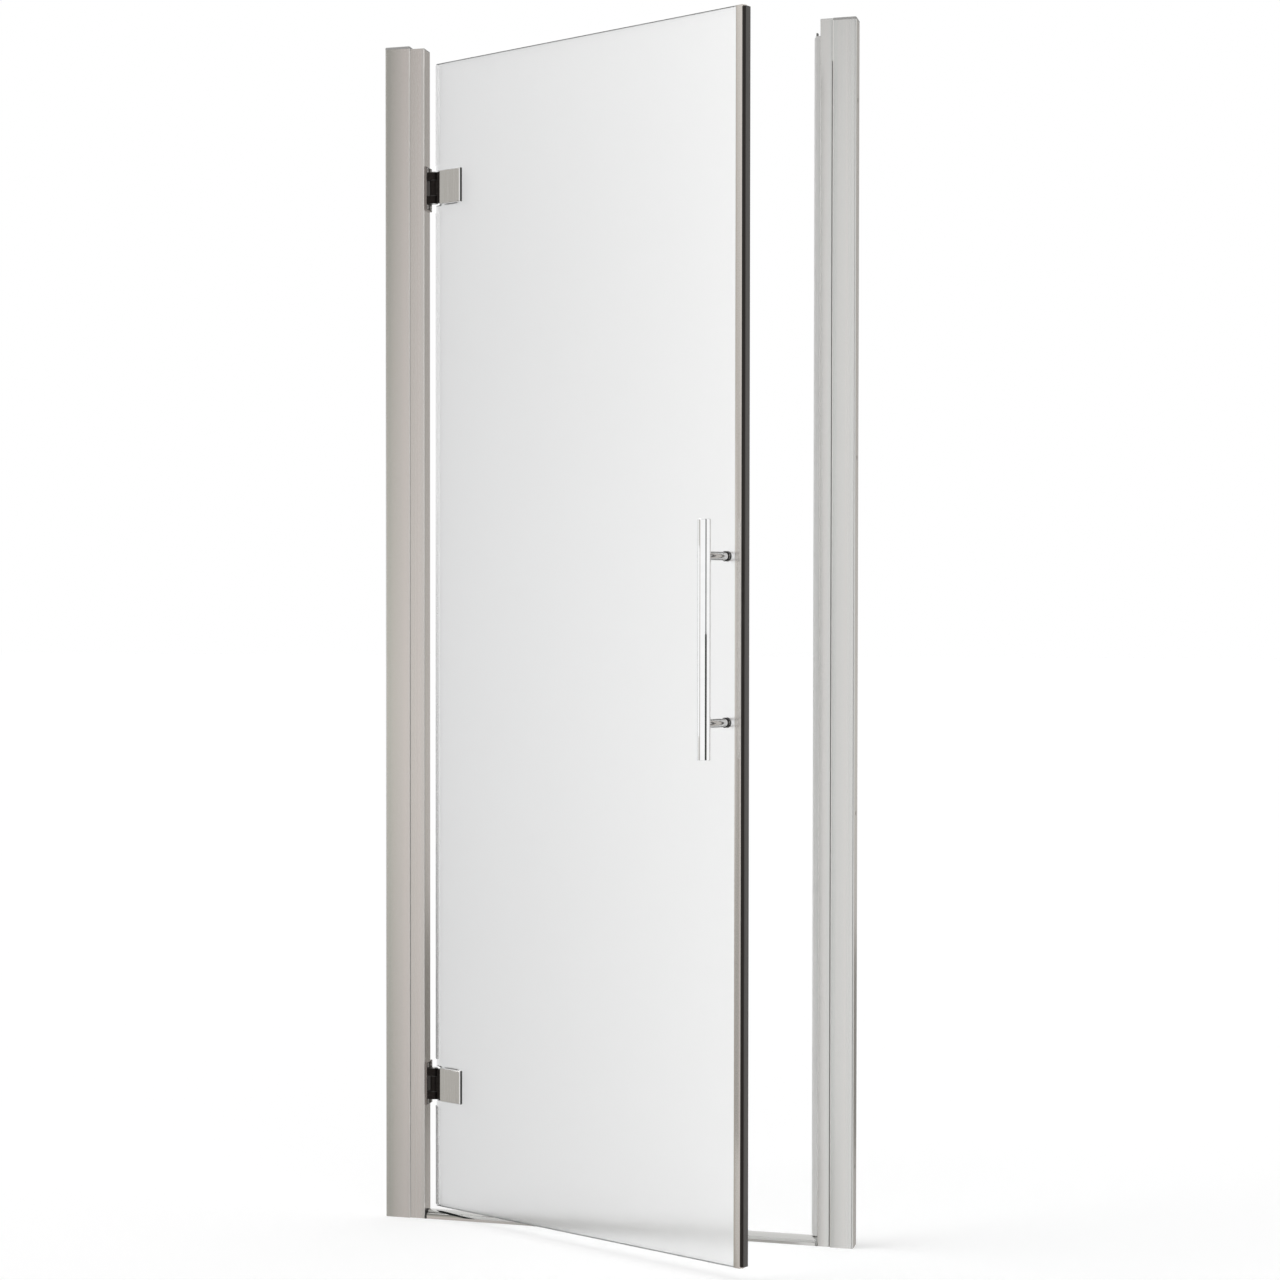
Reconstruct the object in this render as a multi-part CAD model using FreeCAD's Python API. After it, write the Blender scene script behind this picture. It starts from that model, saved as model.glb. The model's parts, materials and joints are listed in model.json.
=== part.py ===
import FreeCAD, Part
import math
import os
from FreeCAD import Vector

# Hinged shower door for an alcove: two wall profiles, two adjusting posts, a sill and a glass door.
# X runs along the opening, Y runs into the shower and Z is up. The origin is on the tray, under the
# middle of the sill. Each door piece is drawn with the door shut, about the hinge axis, and then swung open.

# Overall size, wall to wall and tray to cap, and how far the door stands open at rest
OVERALL_WIDTH = 764.0
OVERALL_HEIGHT = 1900.0
DOOR_OPEN_DEG = 25.0

# Fits and cutting allowance
OVERRUN = 2.0
SLIDE_CLEARANCE = 0.3
PLUG_CLEARANCE = 0.2
SEAL_CLEARANCE = 0.1
SLEEVE_CLEARANCE = 0.1
RUNNING_CLEARANCE = 0.05
THRUST_CLEARANCE = 0.15

# Wall profiles: U channels screwed to the walls, with inward lips that guide the posts
HINGE_WALL_REACH = 42.0
STRIKE_WALL_REACH = 36.0
WALL_DEPTH = 36.0
WALL_WEB = 2.2
WALL_FLANGE = 1.8
WALL_CORNER = 3.0
FLANGE_ROUND = 0.8
LIP_RISE = 0.5
LIP_LENGTH = 4.0
GROOVE_WIDTH = 3.0
GROOVE_DEPTH = 0.6
WALL_HOLE_COUNT = 4
WALL_HOLE_RADIUS = 3.0
WALL_HOLE_END = 125.0

# Adjusting posts: C sections that slide into the wall profiles. The strike post has a groove at the joint.
POST_ENGAGE = 24.0
POST_WALL = 2.2
POST_RETURN = 7.0
POST_CORNER = 1.0
POST_RIB = 1.6
POST_GROOVE_WIDTH = 2.0
POST_GROOVE_DEPTH = 1.0
HINGE_POST_SHOW = 24.0
HINGE_POST_FACE = 3.0
STRIKE_POST_SHOW = 20.0

# Screws that lock each post in its wall profile, from inside the shower, and their snap covers
LOCK_SCREW_COUNT = 3
LOCK_SCREW_END = 200.0
LOCK_SCREW_INSET = 12.0
LOCK_SCREW_RADIUS = 1.9
LOCK_SCREW_LENGTH = 9.0
LOCK_HOLE_CLEARANCE = 0.4
LOCK_HEAD_RADIUS = 3.8
LOCK_HEAD_HEIGHT = 2.4
LOCK_HEAD_ROUND = 1.0
COVER_WALL = 1.4
COVER_ROUND = 1.6

# End caps: the hinge side's wall profile has one and its post a lower one, and the strike side one on both,
# with a tongue that fills the top of the groove at the joint
CAP_THICKNESS = 4.0
CAP_PLUG_LENGTH = 12.0
CAP_TONGUE_LENGTH = 62.0
CAP_EDGE_BEVEL = 0.8
HINGE_POST_CAP_DROP = 2.5

# Sill: a hollow domed bar between the posts, with a plug at each end
SILL_DEPTH = 32.0
SILL_HEIGHT = 13.0
SILL_SIDE = 4.5
SILL_WALL = 1.6
SILL_CAP_THICKNESS = 3.5
SILL_CAP_PLUG = 8.0

# Glass door
GLASS_THICKNESS = 8.0
GLASS_BOTTOM_GAP = 20.0
GLASS_TOP_GAP = 29.0
GLASS_ARRIS = 0.6

# Hinge axis: off the post's face, and outside the middle of the glass when shut
AXIS_FROM_POST = 14.0
AXIS_FROM_GLASS = 7.0
GLASS_FROM_AXIS = 2.0
HINGE_INSET = 200.0

# Hinge leaf on the post, its barrel, pin and bushes
LEAF_HEIGHT = 70.0
LEAF_DEPTH = 28.0
LEAF_THICKNESS = 4.0
LEAF_BEVEL = 1.0
BARREL_RADIUS = 6.5
BARREL_HEIGHT = 50.0
KNUCKLE_HEIGHT = 26.0
PIN_RADIUS = 3.0
PIN_HEAD_RADIUS = 4.6
PIN_HEAD_HEIGHT = 1.6
BUSH_WALL = 1.2
BUSH_FLANGE = 0.8
BUSH_LENGTH = 10.0
LEAF_SCREW_RADIUS = 2.0
LEAF_SCREW_HEAD_RADIUS = 3.9
LEAF_SCREW_LENGTH = 12.0
LEAF_SCREW_EDGE_Y = 5.0
LEAF_SCREW_EDGE_Z = 5.5
LEAF_HOLE_CLEARANCE = 0.3
NUT_PLATE_THICKNESS = 5.0
NUT_PLATE_MARGIN = 2.5

# Hinge clamp on the glass: front plate with the moving knuckle, narrower back plate, gaskets and screws
CLAMP_HEIGHT = 54.0
CLAMP_START = 15.0
CLAMP_WIDTH = 44.0
FRONT_PLATE = 6.0
BACK_PLATE = 5.0
BACK_PLATE_WIDTH = 28.0
CLAMP_BEVEL = 1.2
GASKET = 1.0
GASKET_INSET = 1.0
NECK_THICKNESS = 5.0
NECK_GAP = 2.0
NOTCH_GAP = 3.0
NOTCH_CORNER = 5.0
CLAMP_SCREW_RADIUS = 3.0
CLAMP_SCREW_HEAD_RADIUS = 6.0
CLAMP_SCREW_SPACING = 28.0
CLAMP_SCREW_BITE = 4.0
CLAMP_GLASS_HOLE_RADIUS = 7.0
CLAMP_HOLE_CLEARANCE = 0.3
SOCKET_RADIUS = 2.0
SOCKET_DEPTH = 2.0
SOCKET_SIDES = 6

# Bar handle outside, with cap nuts inside
HANDLE_LENGTH = 352.0
HANDLE_CENTRES = 245.0
HANDLE_INSET = 28.5
HANDLE_STANDOFF = 52.0
BAR_RADIUS = 10.0
BAR_END_ROUND = 1.2
STANDOFF_RADIUS = 6.5
HANDLE_WASHER_RADIUS = 7.6
HANDLE_WASHER = 1.2
STUD_RADIUS = 3.0
STUD_BITE = 14.0
CAP_NUT_RADIUS = 7.0
CAP_NUT_LENGTH = 18.0
CAP_NUT_ROUND = 2.0
HANDLE_GLASS_HOLE_RADIUS = 6.0
HOLE_CLEARANCE = 0.3

# Free edge of the door: aluminium trim and the magnetic seal that slides onto its T rib
TRIM_LEG = 10.5
TRIM_WALL = 1.2
TRIM_WEB = 1.5
TEE_STEM = 1.6
TEE_STEM_LENGTH = 1.4
TEE_HEAD = 4.4
TEE_HEAD_THICKNESS = 1.0
DOOR_SEAL_WIDTH = 12.0
DOOR_SEAL_REACH = 7.0
DOOR_SEAL_ROUND = 1.2
DOOR_SEAL_SHORT = 3.0
MAGNET_WIDTH = 8.0
MAGNET_THICKNESS = 2.4
MAGNET_COVER = 1.0
MAGNET_GAP = 1.0

# Strike seal: slides into a T slot in the strike post, from the sill up, and has a fin that stops the door.
# Its magnet is left a little longer at the top.
SLOT_MOUTH = 3.0
SLOT_WIDTH = 7.0
SLOT_LIP = 1.5
SLOT_POCKET = 2.0
STRIKE_SEAL_WIDTH = 12.0
STRIKE_SEAL_REACH = 9.0
STRIKE_SEAL_SILL_GAP = 0.5
STRIKE_SEAL_TOP_GAP = 24.0
STRIKE_MAGNET_PROUD = 5.0
STOP_GAP = 0.6
STOP_FIN = 1.5
STOP_FIN_OVERLAP = 3.5
STOP_FIN_ROOT = 4.0

# Clear seals on the hinge edge and on the bottom edge of the glass
CLIP_WALL = 1.0
CLIP_LEG = 8.0
HINGE_SEAL_FIN = 8.5
HINGE_SEAL_FIN_THICKNESS = 1.2
HINGE_SEAL_BREAK = 3.0
DRIP_LEG = 6.0
DRIP_BULB_WIDTH = 4.0
DRIP_GAP = 1.0
DRIP_FIN_REACH = 4.0
DRIP_FIN_THICKNESS = 1.2

# Places that follow from the sizes above
UP = Vector(0, 0, 1)
INWARD = Vector(0, 1, 0)
OUTWARD = Vector(0, -1, 0)
ALONG = Vector(1, 0, 0)
HINGE_SIDE = -1
STRIKE_SIDE = 1
TOUCH_SHARE = 1e-6

PROFILE_TOP = OVERALL_HEIGHT - CAP_THICKNESS
HINGE_POST_TOP = PROFILE_TOP - HINGE_POST_CAP_DROP
POST_HALF = WALL_DEPTH / 2 - WALL_FLANGE - LIP_RISE - SLIDE_CLEARANCE
NUT_CHAMBER = NUT_PLATE_THICKNESS + PLUG_CLEARANCE
STRIKE_POST_FACE = SLOT_LIP + SLOT_POCKET + POST_WALL
WALL_REACH = {HINGE_SIDE: HINGE_WALL_REACH, STRIKE_SIDE: STRIKE_WALL_REACH}
POST_REACH = {
    HINGE_SIDE: HINGE_WALL_REACH + HINGE_POST_SHOW,
    STRIKE_SIDE: STRIKE_WALL_REACH + STRIKE_POST_SHOW,
}
POST_BACK = {side: reach - POST_ENGAGE for side, reach in WALL_REACH.items()}
CHAMBER_END = {
    HINGE_SIDE: POST_REACH[HINGE_SIDE] - HINGE_POST_FACE - NUT_CHAMBER - POST_RIB,
    STRIKE_SIDE: POST_REACH[STRIKE_SIDE] - STRIKE_POST_FACE,
}
POST_TOP = {HINGE_SIDE: HINGE_POST_TOP, STRIKE_SIDE: PROFILE_TOP}

HINGE_FACE_X = -OVERALL_WIDTH / 2 + POST_REACH[HINGE_SIDE]
STRIKE_FACE_X = OVERALL_WIDTH / 2 - POST_REACH[STRIKE_SIDE]
AXIS_X = HINGE_FACE_X + AXIS_FROM_POST
AXIS_Y = -AXIS_FROM_GLASS

GLASS_BOTTOM = GLASS_BOTTOM_GAP
GLASS_TOP = OVERALL_HEIGHT - GLASS_TOP_GAP
GLASS_MIDDLE = (GLASS_BOTTOM + GLASS_TOP) / 2
HINGE_HEIGHTS = {"upper": GLASS_TOP - HINGE_INSET, "lower": GLASS_BOTTOM + HINGE_INSET}
STRIKE_SEAL_LOW = SILL_HEIGHT + STRIKE_SEAL_SILL_GAP
STRIKE_SEAL_HIGH = OVERALL_HEIGHT - STRIKE_SEAL_TOP_GAP

# Distances from the hinge axis with the door shut, along the door (x) and into the shower (y)
GLASS_START = GLASS_FROM_AXIS
SEAL_END = STRIKE_FACE_X - STRIKE_SEAL_REACH - MAGNET_GAP - AXIS_X
TRIM_END = SEAL_END - DOOR_SEAL_REACH
GLASS_END = TRIM_END - TRIM_WEB
GLASS_OUTER = AXIS_FROM_GLASS - GLASS_THICKNESS / 2
GLASS_INNER = AXIS_FROM_GLASS + GLASS_THICKNESS / 2
CLAMP_END = CLAMP_START + CLAMP_WIDTH
BACK_END = CLAMP_START + BACK_PLATE_WIDTH
CLAMP_SCREW_X = (CLAMP_START + BACK_END) / 2
FRONT_INNER = GLASS_OUTER - GASKET
FRONT_OUTER = FRONT_INNER - FRONT_PLATE
BACK_OUTER = GLASS_INNER + GASKET
BACK_INNER = BACK_OUTER + BACK_PLATE
HANDLE_X = GLASS_END - HANDLE_INSET
BAR_Y = GLASS_OUTER - HANDLE_STANDOFF
BUSH_RADIUS = PIN_RADIUS + RUNNING_CLEARANCE + BUSH_WALL
KNUCKLE_HALF = KNUCKLE_HEIGHT / 2 - BUSH_FLANGE - THRUST_CLEARANCE
NECK_START = BARREL_RADIUS + NECK_GAP


# Shape helpers

def prism(outline, low, high):
    """Upright solid between two heights, from the corners of its plan in order."""
    turn = sum(a[0] * b[1] - b[0] * a[1] for a, b in zip(outline, outline[1:] + outline[:1]))
    corners = outline if turn > 0 else outline[::-1]
    points = [Vector(x, y, low) for x, y in corners]
    wire = Part.makePolygon(points + points[:1])
    return Part.Face(wire).extrude(UP * (high - low))


def bar_along_x(profile, start, end):
    """Solid between two places along X, from a closed list of edges drawn in the YZ plane."""
    wire = Part.Wire(Part.__sortEdges__(profile))
    wire.translate(ALONG * start)
    return Part.Face(wire).extrude(ALONG * (end - start))


def block(low, high):
    """Box between two opposite corners."""
    size = Vector(*high) - Vector(*low)
    return Part.makeBox(size.x, size.y, size.z, Vector(*low))


def rod(start, direction, radius, length):
    """Round bar from a point along a direction."""
    return Part.makeCylinder(radius, length, Vector(*start), direction)


def round_uprights(shape, radius, places):
    """Rounds the vertical edges of a shape that stand at the given plan places."""
    found = []
    for edge in shape.Edges:
        box = edge.BoundBox
        here = edge.Vertexes[0].Point
        near = any(math.hypot(here.x - x, here.y - y) < TOUCH_SHARE * box.DiagonalLength for x, y in places)
        if near and box.ZLength > box.XLength + box.YLength:
            found.append(edge)
    return shape.makeFillet(radius, found)


def edges_level_with(shape, direction, level):
    """The edges of a shape that lie in the plane at that distance along a direction."""
    flat = []
    for edge in shape.Edges:
        heights = [vertex.Point.dot(direction) for vertex in edge.Vertexes]
        heights.append(edge.valueAt((edge.FirstParameter + edge.LastParameter) / 2).dot(direction))
        if max(abs(height - level) for height in heights) < TOUCH_SHARE * shape.BoundBox.DiagonalLength:
            flat.append(edge)
    return flat


def even_heights(count, end):
    """Heights spread evenly between the same distance from the tray and from the top."""
    step = (OVERALL_HEIGHT - 2 * end) / (count - 1)
    return [end + step * index for index in range(count)]


def countersunk_screw(head_centre, direction, head_radius, radius, length):
    """Countersunk screw whose flat head lies at a point, with a hexagon socket, driven along a direction."""
    head = Part.makeCone(head_radius, radius, head_radius - radius, head_centre, direction)
    shank = Part.makeCylinder(radius, length, head_centre, direction)
    socket_radius = min(SOCKET_RADIUS, head_radius / 2)
    corners = [
        Vector(socket_radius * math.cos(angle), socket_radius * math.sin(angle), 0)
        for angle in (2 * math.pi * index / SOCKET_SIDES for index in range(SOCKET_SIDES + 1))
    ]
    socket = Part.Face(Part.makePolygon(corners)).extrude(UP * SOCKET_DEPTH)
    socket.Placement = FreeCAD.Placement(head_centre, FreeCAD.Rotation(UP, direction))
    return head.fuse(shank).cut(socket).removeSplitter()


def countersink(head_centre, direction, head_radius, radius, clearance, length):
    """Tool that cuts the seat of a countersunk screw: its cone, and a clearance hole beyond."""
    cone = Part.makeCone(head_radius, radius, head_radius - radius, head_centre, direction)
    hole = Part.makeCylinder(radius + clearance, length + OVERRUN, head_centre, direction)
    return cone.fuse(hole)


def on_hinge_axis(shape):
    """Moves a fixed hinge piece from the hinge axis to its place on the post."""
    shape.translate(Vector(AXIS_X, AXIS_Y, 0))
    return shape


def on_door(shape):
    """Swings a door piece open about the hinge axis, and moves it to its place."""
    shape.rotate(Vector(0, 0, 0), UP, -DOOR_OPEN_DEG)
    return on_hinge_axis(shape)


def group(solids):
    """Several separate solids as one sub-part."""
    return Part.makeCompound(solids)


# Wall profiles and posts

def from_wall(side, outline):
    """Plan places given as (distance from the wall, Y), on the hinge side or the strike side."""
    return [(side * (OVERALL_WIDTH / 2 - reach), y) for reach, y in outline]


def wall_profile(side):
    """U channel with guide lips, a drilling groove, wall screw holes and lock screw holes."""
    half = WALL_DEPTH / 2
    inner = half - WALL_FLANGE
    lip = inner - LIP_RISE
    reach = WALL_REACH[side]
    lip_start = reach - LIP_LENGTH
    outline = [
        (0, -half),
        (reach, -half),
        (reach, -lip),
        (lip_start, -lip),
        (lip_start, -inner),
        (WALL_WEB, -inner),
        (WALL_WEB, -GROOVE_WIDTH / 2),
        (WALL_WEB - GROOVE_DEPTH, 0),
        (WALL_WEB, GROOVE_WIDTH / 2),
        (WALL_WEB, inner),
        (lip_start, inner),
        (lip_start, lip),
        (reach, lip),
        (reach, half),
        (0, half),
    ]
    body = prism(from_wall(side, outline), 0, PROFILE_TOP)
    body = round_uprights(body, WALL_CORNER, from_wall(side, [(0, -half), (0, half)]))
    body = round_uprights(body, FLANGE_ROUND, from_wall(side, [(reach, -half), (reach, half)]))
    wall = side * OVERALL_WIDTH / 2
    inwards = ALONG * -side
    for height in even_heights(WALL_HOLE_COUNT, WALL_HOLE_END):
        start = Vector(wall, 0, height) - inwards * OVERRUN
        body = body.cut(rod(start, inwards, WALL_HOLE_RADIUS, WALL_WEB + 2 * OVERRUN))
    for x, height in lock_screw_places(side):
        hole = rod((x, lip, height), INWARD, LOCK_SCREW_RADIUS + LOCK_HOLE_CLEARANCE, WALL_FLANGE + OVERRUN)
        body = body.cut(hole)
    return body


def post_blank(side):
    """C section of a post: closed towards the opening and open to the wall."""
    back = POST_BACK[side]
    reach = POST_REACH[side]
    outline = [(back, -POST_HALF), (reach, -POST_HALF), (reach, POST_HALF), (back, POST_HALF)]
    top = POST_TOP[side]
    body = prism(from_wall(side, outline), 0, top)
    body = round_uprights(body, POST_CORNER, from_wall(side, [(reach, -POST_HALF), (reach, POST_HALF)]))
    chamber_half = POST_HALF - POST_WALL
    mouth_half = POST_HALF - POST_RETURN
    chamber_start = back + POST_WALL
    chamber_end = CHAMBER_END[side]
    chamber = [
        (back - OVERRUN, -mouth_half),
        (chamber_start, -mouth_half),
        (chamber_start, -chamber_half),
        (chamber_end, -chamber_half),
        (chamber_end, chamber_half),
        (chamber_start, chamber_half),
        (chamber_start, mouth_half),
        (back - OVERRUN, mouth_half),
    ]
    body = body.cut(prism(from_wall(side, chamber), -OVERRUN, top + OVERRUN))
    for x, height in lock_screw_places(side):
        pilot = rod((x, chamber_half - OVERRUN, height), INWARD, LOCK_SCREW_RADIUS, POST_WALL + 2 * OVERRUN)
        body = body.cut(pilot)
    return body


def hinge_post():
    """Post that carries the hinges, with a second chamber for their nut plates."""
    body = post_blank(HINGE_SIDE)
    chamber_half = POST_HALF - POST_WALL
    face_inside = HINGE_FACE_X - HINGE_POST_FACE
    nut_chamber = block(
        (face_inside - NUT_CHAMBER, -chamber_half, -OVERRUN),
        (face_inside, chamber_half, HINGE_POST_TOP + OVERRUN),
    )
    body = body.cut(nut_chamber)
    for height in HINGE_HEIGHTS.values():
        for y, z in leaf_screw_places(height):
            start = (face_inside - OVERRUN, y, z)
            radius = LEAF_SCREW_RADIUS + LEAF_HOLE_CLEARANCE
            body = body.cut(rod(start, ALONG, radius, HINGE_POST_FACE + 2 * OVERRUN))
    return body


def strike_post():
    """Post that the door closes on, with a T slot for the strike seal and a groove at the joint in front."""
    slot = tee_outline(STRIKE_FACE_X, SLOT_MOUTH, SLOT_LIP, SLOT_WIDTH, SLOT_POCKET, OVERRUN)
    body = post_blank(STRIKE_SIDE).cut(prism(slot, -OVERRUN, PROFILE_TOP + OVERRUN))
    groove_end = STRIKE_WALL_REACH + POST_GROOVE_WIDTH
    groove_back = -POST_HALF + POST_GROOVE_DEPTH
    groove = [
        (STRIKE_WALL_REACH, -POST_HALF - OVERRUN),
        (groove_end, -POST_HALF - OVERRUN),
        (groove_end, groove_back),
        (STRIKE_WALL_REACH, groove_back),
    ]
    return body.cut(prism(from_wall(STRIKE_SIDE, groove), -OVERRUN, PROFILE_TOP + OVERRUN))


def tee_outline(face, stem, stem_length, head, head_thickness, root):
    """Plan of a T that runs from a face along +X, with a root behind the face, on the middle plane."""
    neck = face + stem_length
    end = neck + head_thickness
    return [
        (face - root, -stem / 2),
        (neck, -stem / 2),
        (neck, -head / 2),
        (end, -head / 2),
        (end, head / 2),
        (neck, head / 2),
        (neck, stem / 2),
        (face - root, stem / 2),
    ]


def post_plug(side):
    """Block that fills the top of a post's chamber, under a cap."""
    half = POST_HALF - POST_WALL - PLUG_CLEARANCE
    start = POST_BACK[side] + POST_WALL + PLUG_CLEARANCE
    end = CHAMBER_END[side] - PLUG_CLEARANCE
    outline = [(start, -half), (end, -half), (end, half), (start, half)]
    top = POST_TOP[side]
    return prism(from_wall(side, outline), top - CAP_PLUG_LENGTH, top)


def hinge_wall_cap():
    """Cap on the hinge side's wall profile, with a plug between its web and the post."""
    half = WALL_DEPTH / 2
    outline = [(0, -half), (HINGE_WALL_REACH, -half), (HINGE_WALL_REACH, half), (0, half)]
    plate = prism(from_wall(HINGE_SIDE, outline), PROFILE_TOP, OVERALL_HEIGHT)
    plate = round_uprights(plate, WALL_CORNER, from_wall(HINGE_SIDE, [outline[0], outline[3]]))
    plate = round_uprights(plate, FLANGE_ROUND, from_wall(HINGE_SIDE, outline[1:3]))
    plate = plate.makeChamfer(CAP_EDGE_BEVEL, edges_level_with(plate, UP, OVERALL_HEIGHT))
    plug_half = half - WALL_FLANGE - PLUG_CLEARANCE
    plug_start = WALL_WEB + PLUG_CLEARANCE
    plug_end = POST_BACK[HINGE_SIDE] - PLUG_CLEARANCE
    plug = [(plug_start, -plug_half), (plug_end, -plug_half), (plug_end, plug_half), (plug_start, plug_half)]
    return plate.fuse(prism(from_wall(HINGE_SIDE, plug), PROFILE_TOP - CAP_PLUG_LENGTH, PROFILE_TOP))


def hinge_post_cap():
    """Cap on the hinge post where it shows beyond the wall profile, level with the profile's top."""
    start = HINGE_WALL_REACH + SLIDE_CLEARANCE
    end = POST_REACH[HINGE_SIDE]
    outline = [(start, -POST_HALF), (end, -POST_HALF), (end, POST_HALF), (start, POST_HALF)]
    plate = prism(from_wall(HINGE_SIDE, outline), HINGE_POST_TOP, PROFILE_TOP)
    plate = round_uprights(plate, POST_CORNER, from_wall(HINGE_SIDE, outline[1:3]))
    plate = plate.makeChamfer(CAP_EDGE_BEVEL, edges_level_with(plate, UP, PROFILE_TOP))
    return plate.fuse(post_plug(HINGE_SIDE))


def strike_cap():
    """One cap over the strike side's wall profile and post, with its plug and its tongue in the post."""
    half = WALL_DEPTH / 2
    reach = POST_REACH[STRIKE_SIDE]
    outline = [
        (0, -half),
        (STRIKE_WALL_REACH, -half),
        (STRIKE_WALL_REACH, -POST_HALF),
        (reach, -POST_HALF),
        (reach, POST_HALF),
        (STRIKE_WALL_REACH, POST_HALF),
        (STRIKE_WALL_REACH, half),
        (0, half),
    ]
    plate = prism(from_wall(STRIKE_SIDE, outline), PROFILE_TOP, OVERALL_HEIGHT)
    plate = round_uprights(plate, WALL_CORNER, from_wall(STRIKE_SIDE, [outline[0], outline[7]]))
    plate = round_uprights(plate, FLANGE_ROUND, from_wall(STRIKE_SIDE, [outline[1], outline[6]]))
    plate = round_uprights(plate, POST_CORNER, from_wall(STRIKE_SIDE, outline[3:5]))
    plate = plate.makeChamfer(CAP_EDGE_BEVEL, edges_level_with(plate, UP, OVERALL_HEIGHT))
    tongue_start = STRIKE_WALL_REACH + PLUG_CLEARANCE
    tongue_end = STRIKE_WALL_REACH + POST_GROOVE_WIDTH - PLUG_CLEARANCE
    tongue_back = -POST_HALF + POST_GROOVE_DEPTH - PLUG_CLEARANCE
    tongue = [
        (tongue_start, -POST_HALF),
        (tongue_end, -POST_HALF),
        (tongue_end, tongue_back),
        (tongue_start, tongue_back),
    ]
    tongue = prism(from_wall(STRIKE_SIDE, tongue), PROFILE_TOP - CAP_TONGUE_LENGTH, PROFILE_TOP)
    return plate.fuse([post_plug(STRIKE_SIDE), tongue])


def lock_screw_places(side):
    """X and height of each screw that locks a post in its wall profile."""
    x = side * (OVERALL_WIDTH / 2 - WALL_REACH[side] + LOCK_SCREW_INSET)
    return [(x, height) for height in even_heights(LOCK_SCREW_COUNT, LOCK_SCREW_END)]


def lock_screws(side):
    """Pan head screws, driven outwards through the inner flange into the post."""
    seat = WALL_DEPTH / 2
    screws = []
    for x, height in lock_screw_places(side):
        head = rod((x, seat, height), INWARD, LOCK_HEAD_RADIUS, LOCK_HEAD_HEIGHT)
        head = head.makeFillet(LOCK_HEAD_ROUND, edges_level_with(head, INWARD, seat + LOCK_HEAD_HEIGHT))
        shank = rod((x, seat, height), OUTWARD, LOCK_SCREW_RADIUS, LOCK_SCREW_LENGTH)
        screws.append(head.fuse(shank))
    return group(screws)


def screw_covers(side):
    """Snap covers over the heads of the lock screws."""
    seat = WALL_DEPTH / 2
    hollow_radius = LOCK_HEAD_RADIUS + PLUG_CLEARANCE
    hollow_height = LOCK_HEAD_HEIGHT + PLUG_CLEARANCE
    covers = []
    for x, height in lock_screw_places(side):
        dome = rod((x, seat, height), INWARD, hollow_radius + COVER_WALL, hollow_height + COVER_WALL)
        dome = dome.makeFillet(COVER_ROUND, edges_level_with(dome, INWARD, seat + hollow_height + COVER_WALL))
        covers.append(dome.cut(rod((x, seat, height), INWARD, hollow_radius, hollow_height)))
    return group(covers)


# Sill

def sill_profile(inset):
    """Edges of the domed sill section, drawn in by an inset all round."""
    half = SILL_DEPTH / 2 - inset
    low = Vector(0, -half, inset)
    corners = [
        low,
        Vector(0, half, inset),
        Vector(0, half, SILL_SIDE),
        Vector(0, -half, SILL_SIDE),
    ]
    crown = Vector(0, 0, SILL_HEIGHT - inset)
    return [
        Part.LineSegment(corners[0], corners[1]).toShape(),
        Part.LineSegment(corners[1], corners[2]).toShape(),
        Part.Arc(corners[2], crown, corners[3]).toShape(),
        Part.LineSegment(corners[3], corners[0]).toShape(),
    ]


def sill_bar():
    start = HINGE_FACE_X + SILL_CAP_THICKNESS
    end = STRIKE_FACE_X - SILL_CAP_THICKNESS
    outer = bar_along_x(sill_profile(0), start, end)
    return outer.cut(bar_along_x(sill_profile(SILL_WALL), start - OVERRUN, end + OVERRUN))


def sill_end_cap(post_face, inwards):
    """End plate against the post, with a plug in the hollow sill. Inwards is +1 or -1 along X."""
    inner_face = post_face + inwards * SILL_CAP_THICKNESS
    plug_end = inner_face + inwards * SILL_CAP_PLUG
    plate = bar_along_x(sill_profile(0), post_face, inner_face)
    return plate.fuse(bar_along_x(sill_profile(SILL_WALL + PLUG_CLEARANCE), inner_face, plug_end))


# Hinges, drawn about the hinge axis

def leaf_screw_places(height):
    """Y and height of the four screws of a hinge leaf."""
    y = LEAF_DEPTH / 2 - LEAF_SCREW_EDGE_Y
    z = LEAF_HEIGHT / 2 - LEAF_SCREW_EDGE_Z
    return [(sign_y * y, height + sign_z * z) for sign_y in (-1, 1) for sign_z in (-1, 1)]


def leaf_screw_head(y, z):
    """Centre of a leaf screw's head, in the leaf's outer face."""
    return Vector(HINGE_FACE_X + LEAF_THICKNESS, y, z)


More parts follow.
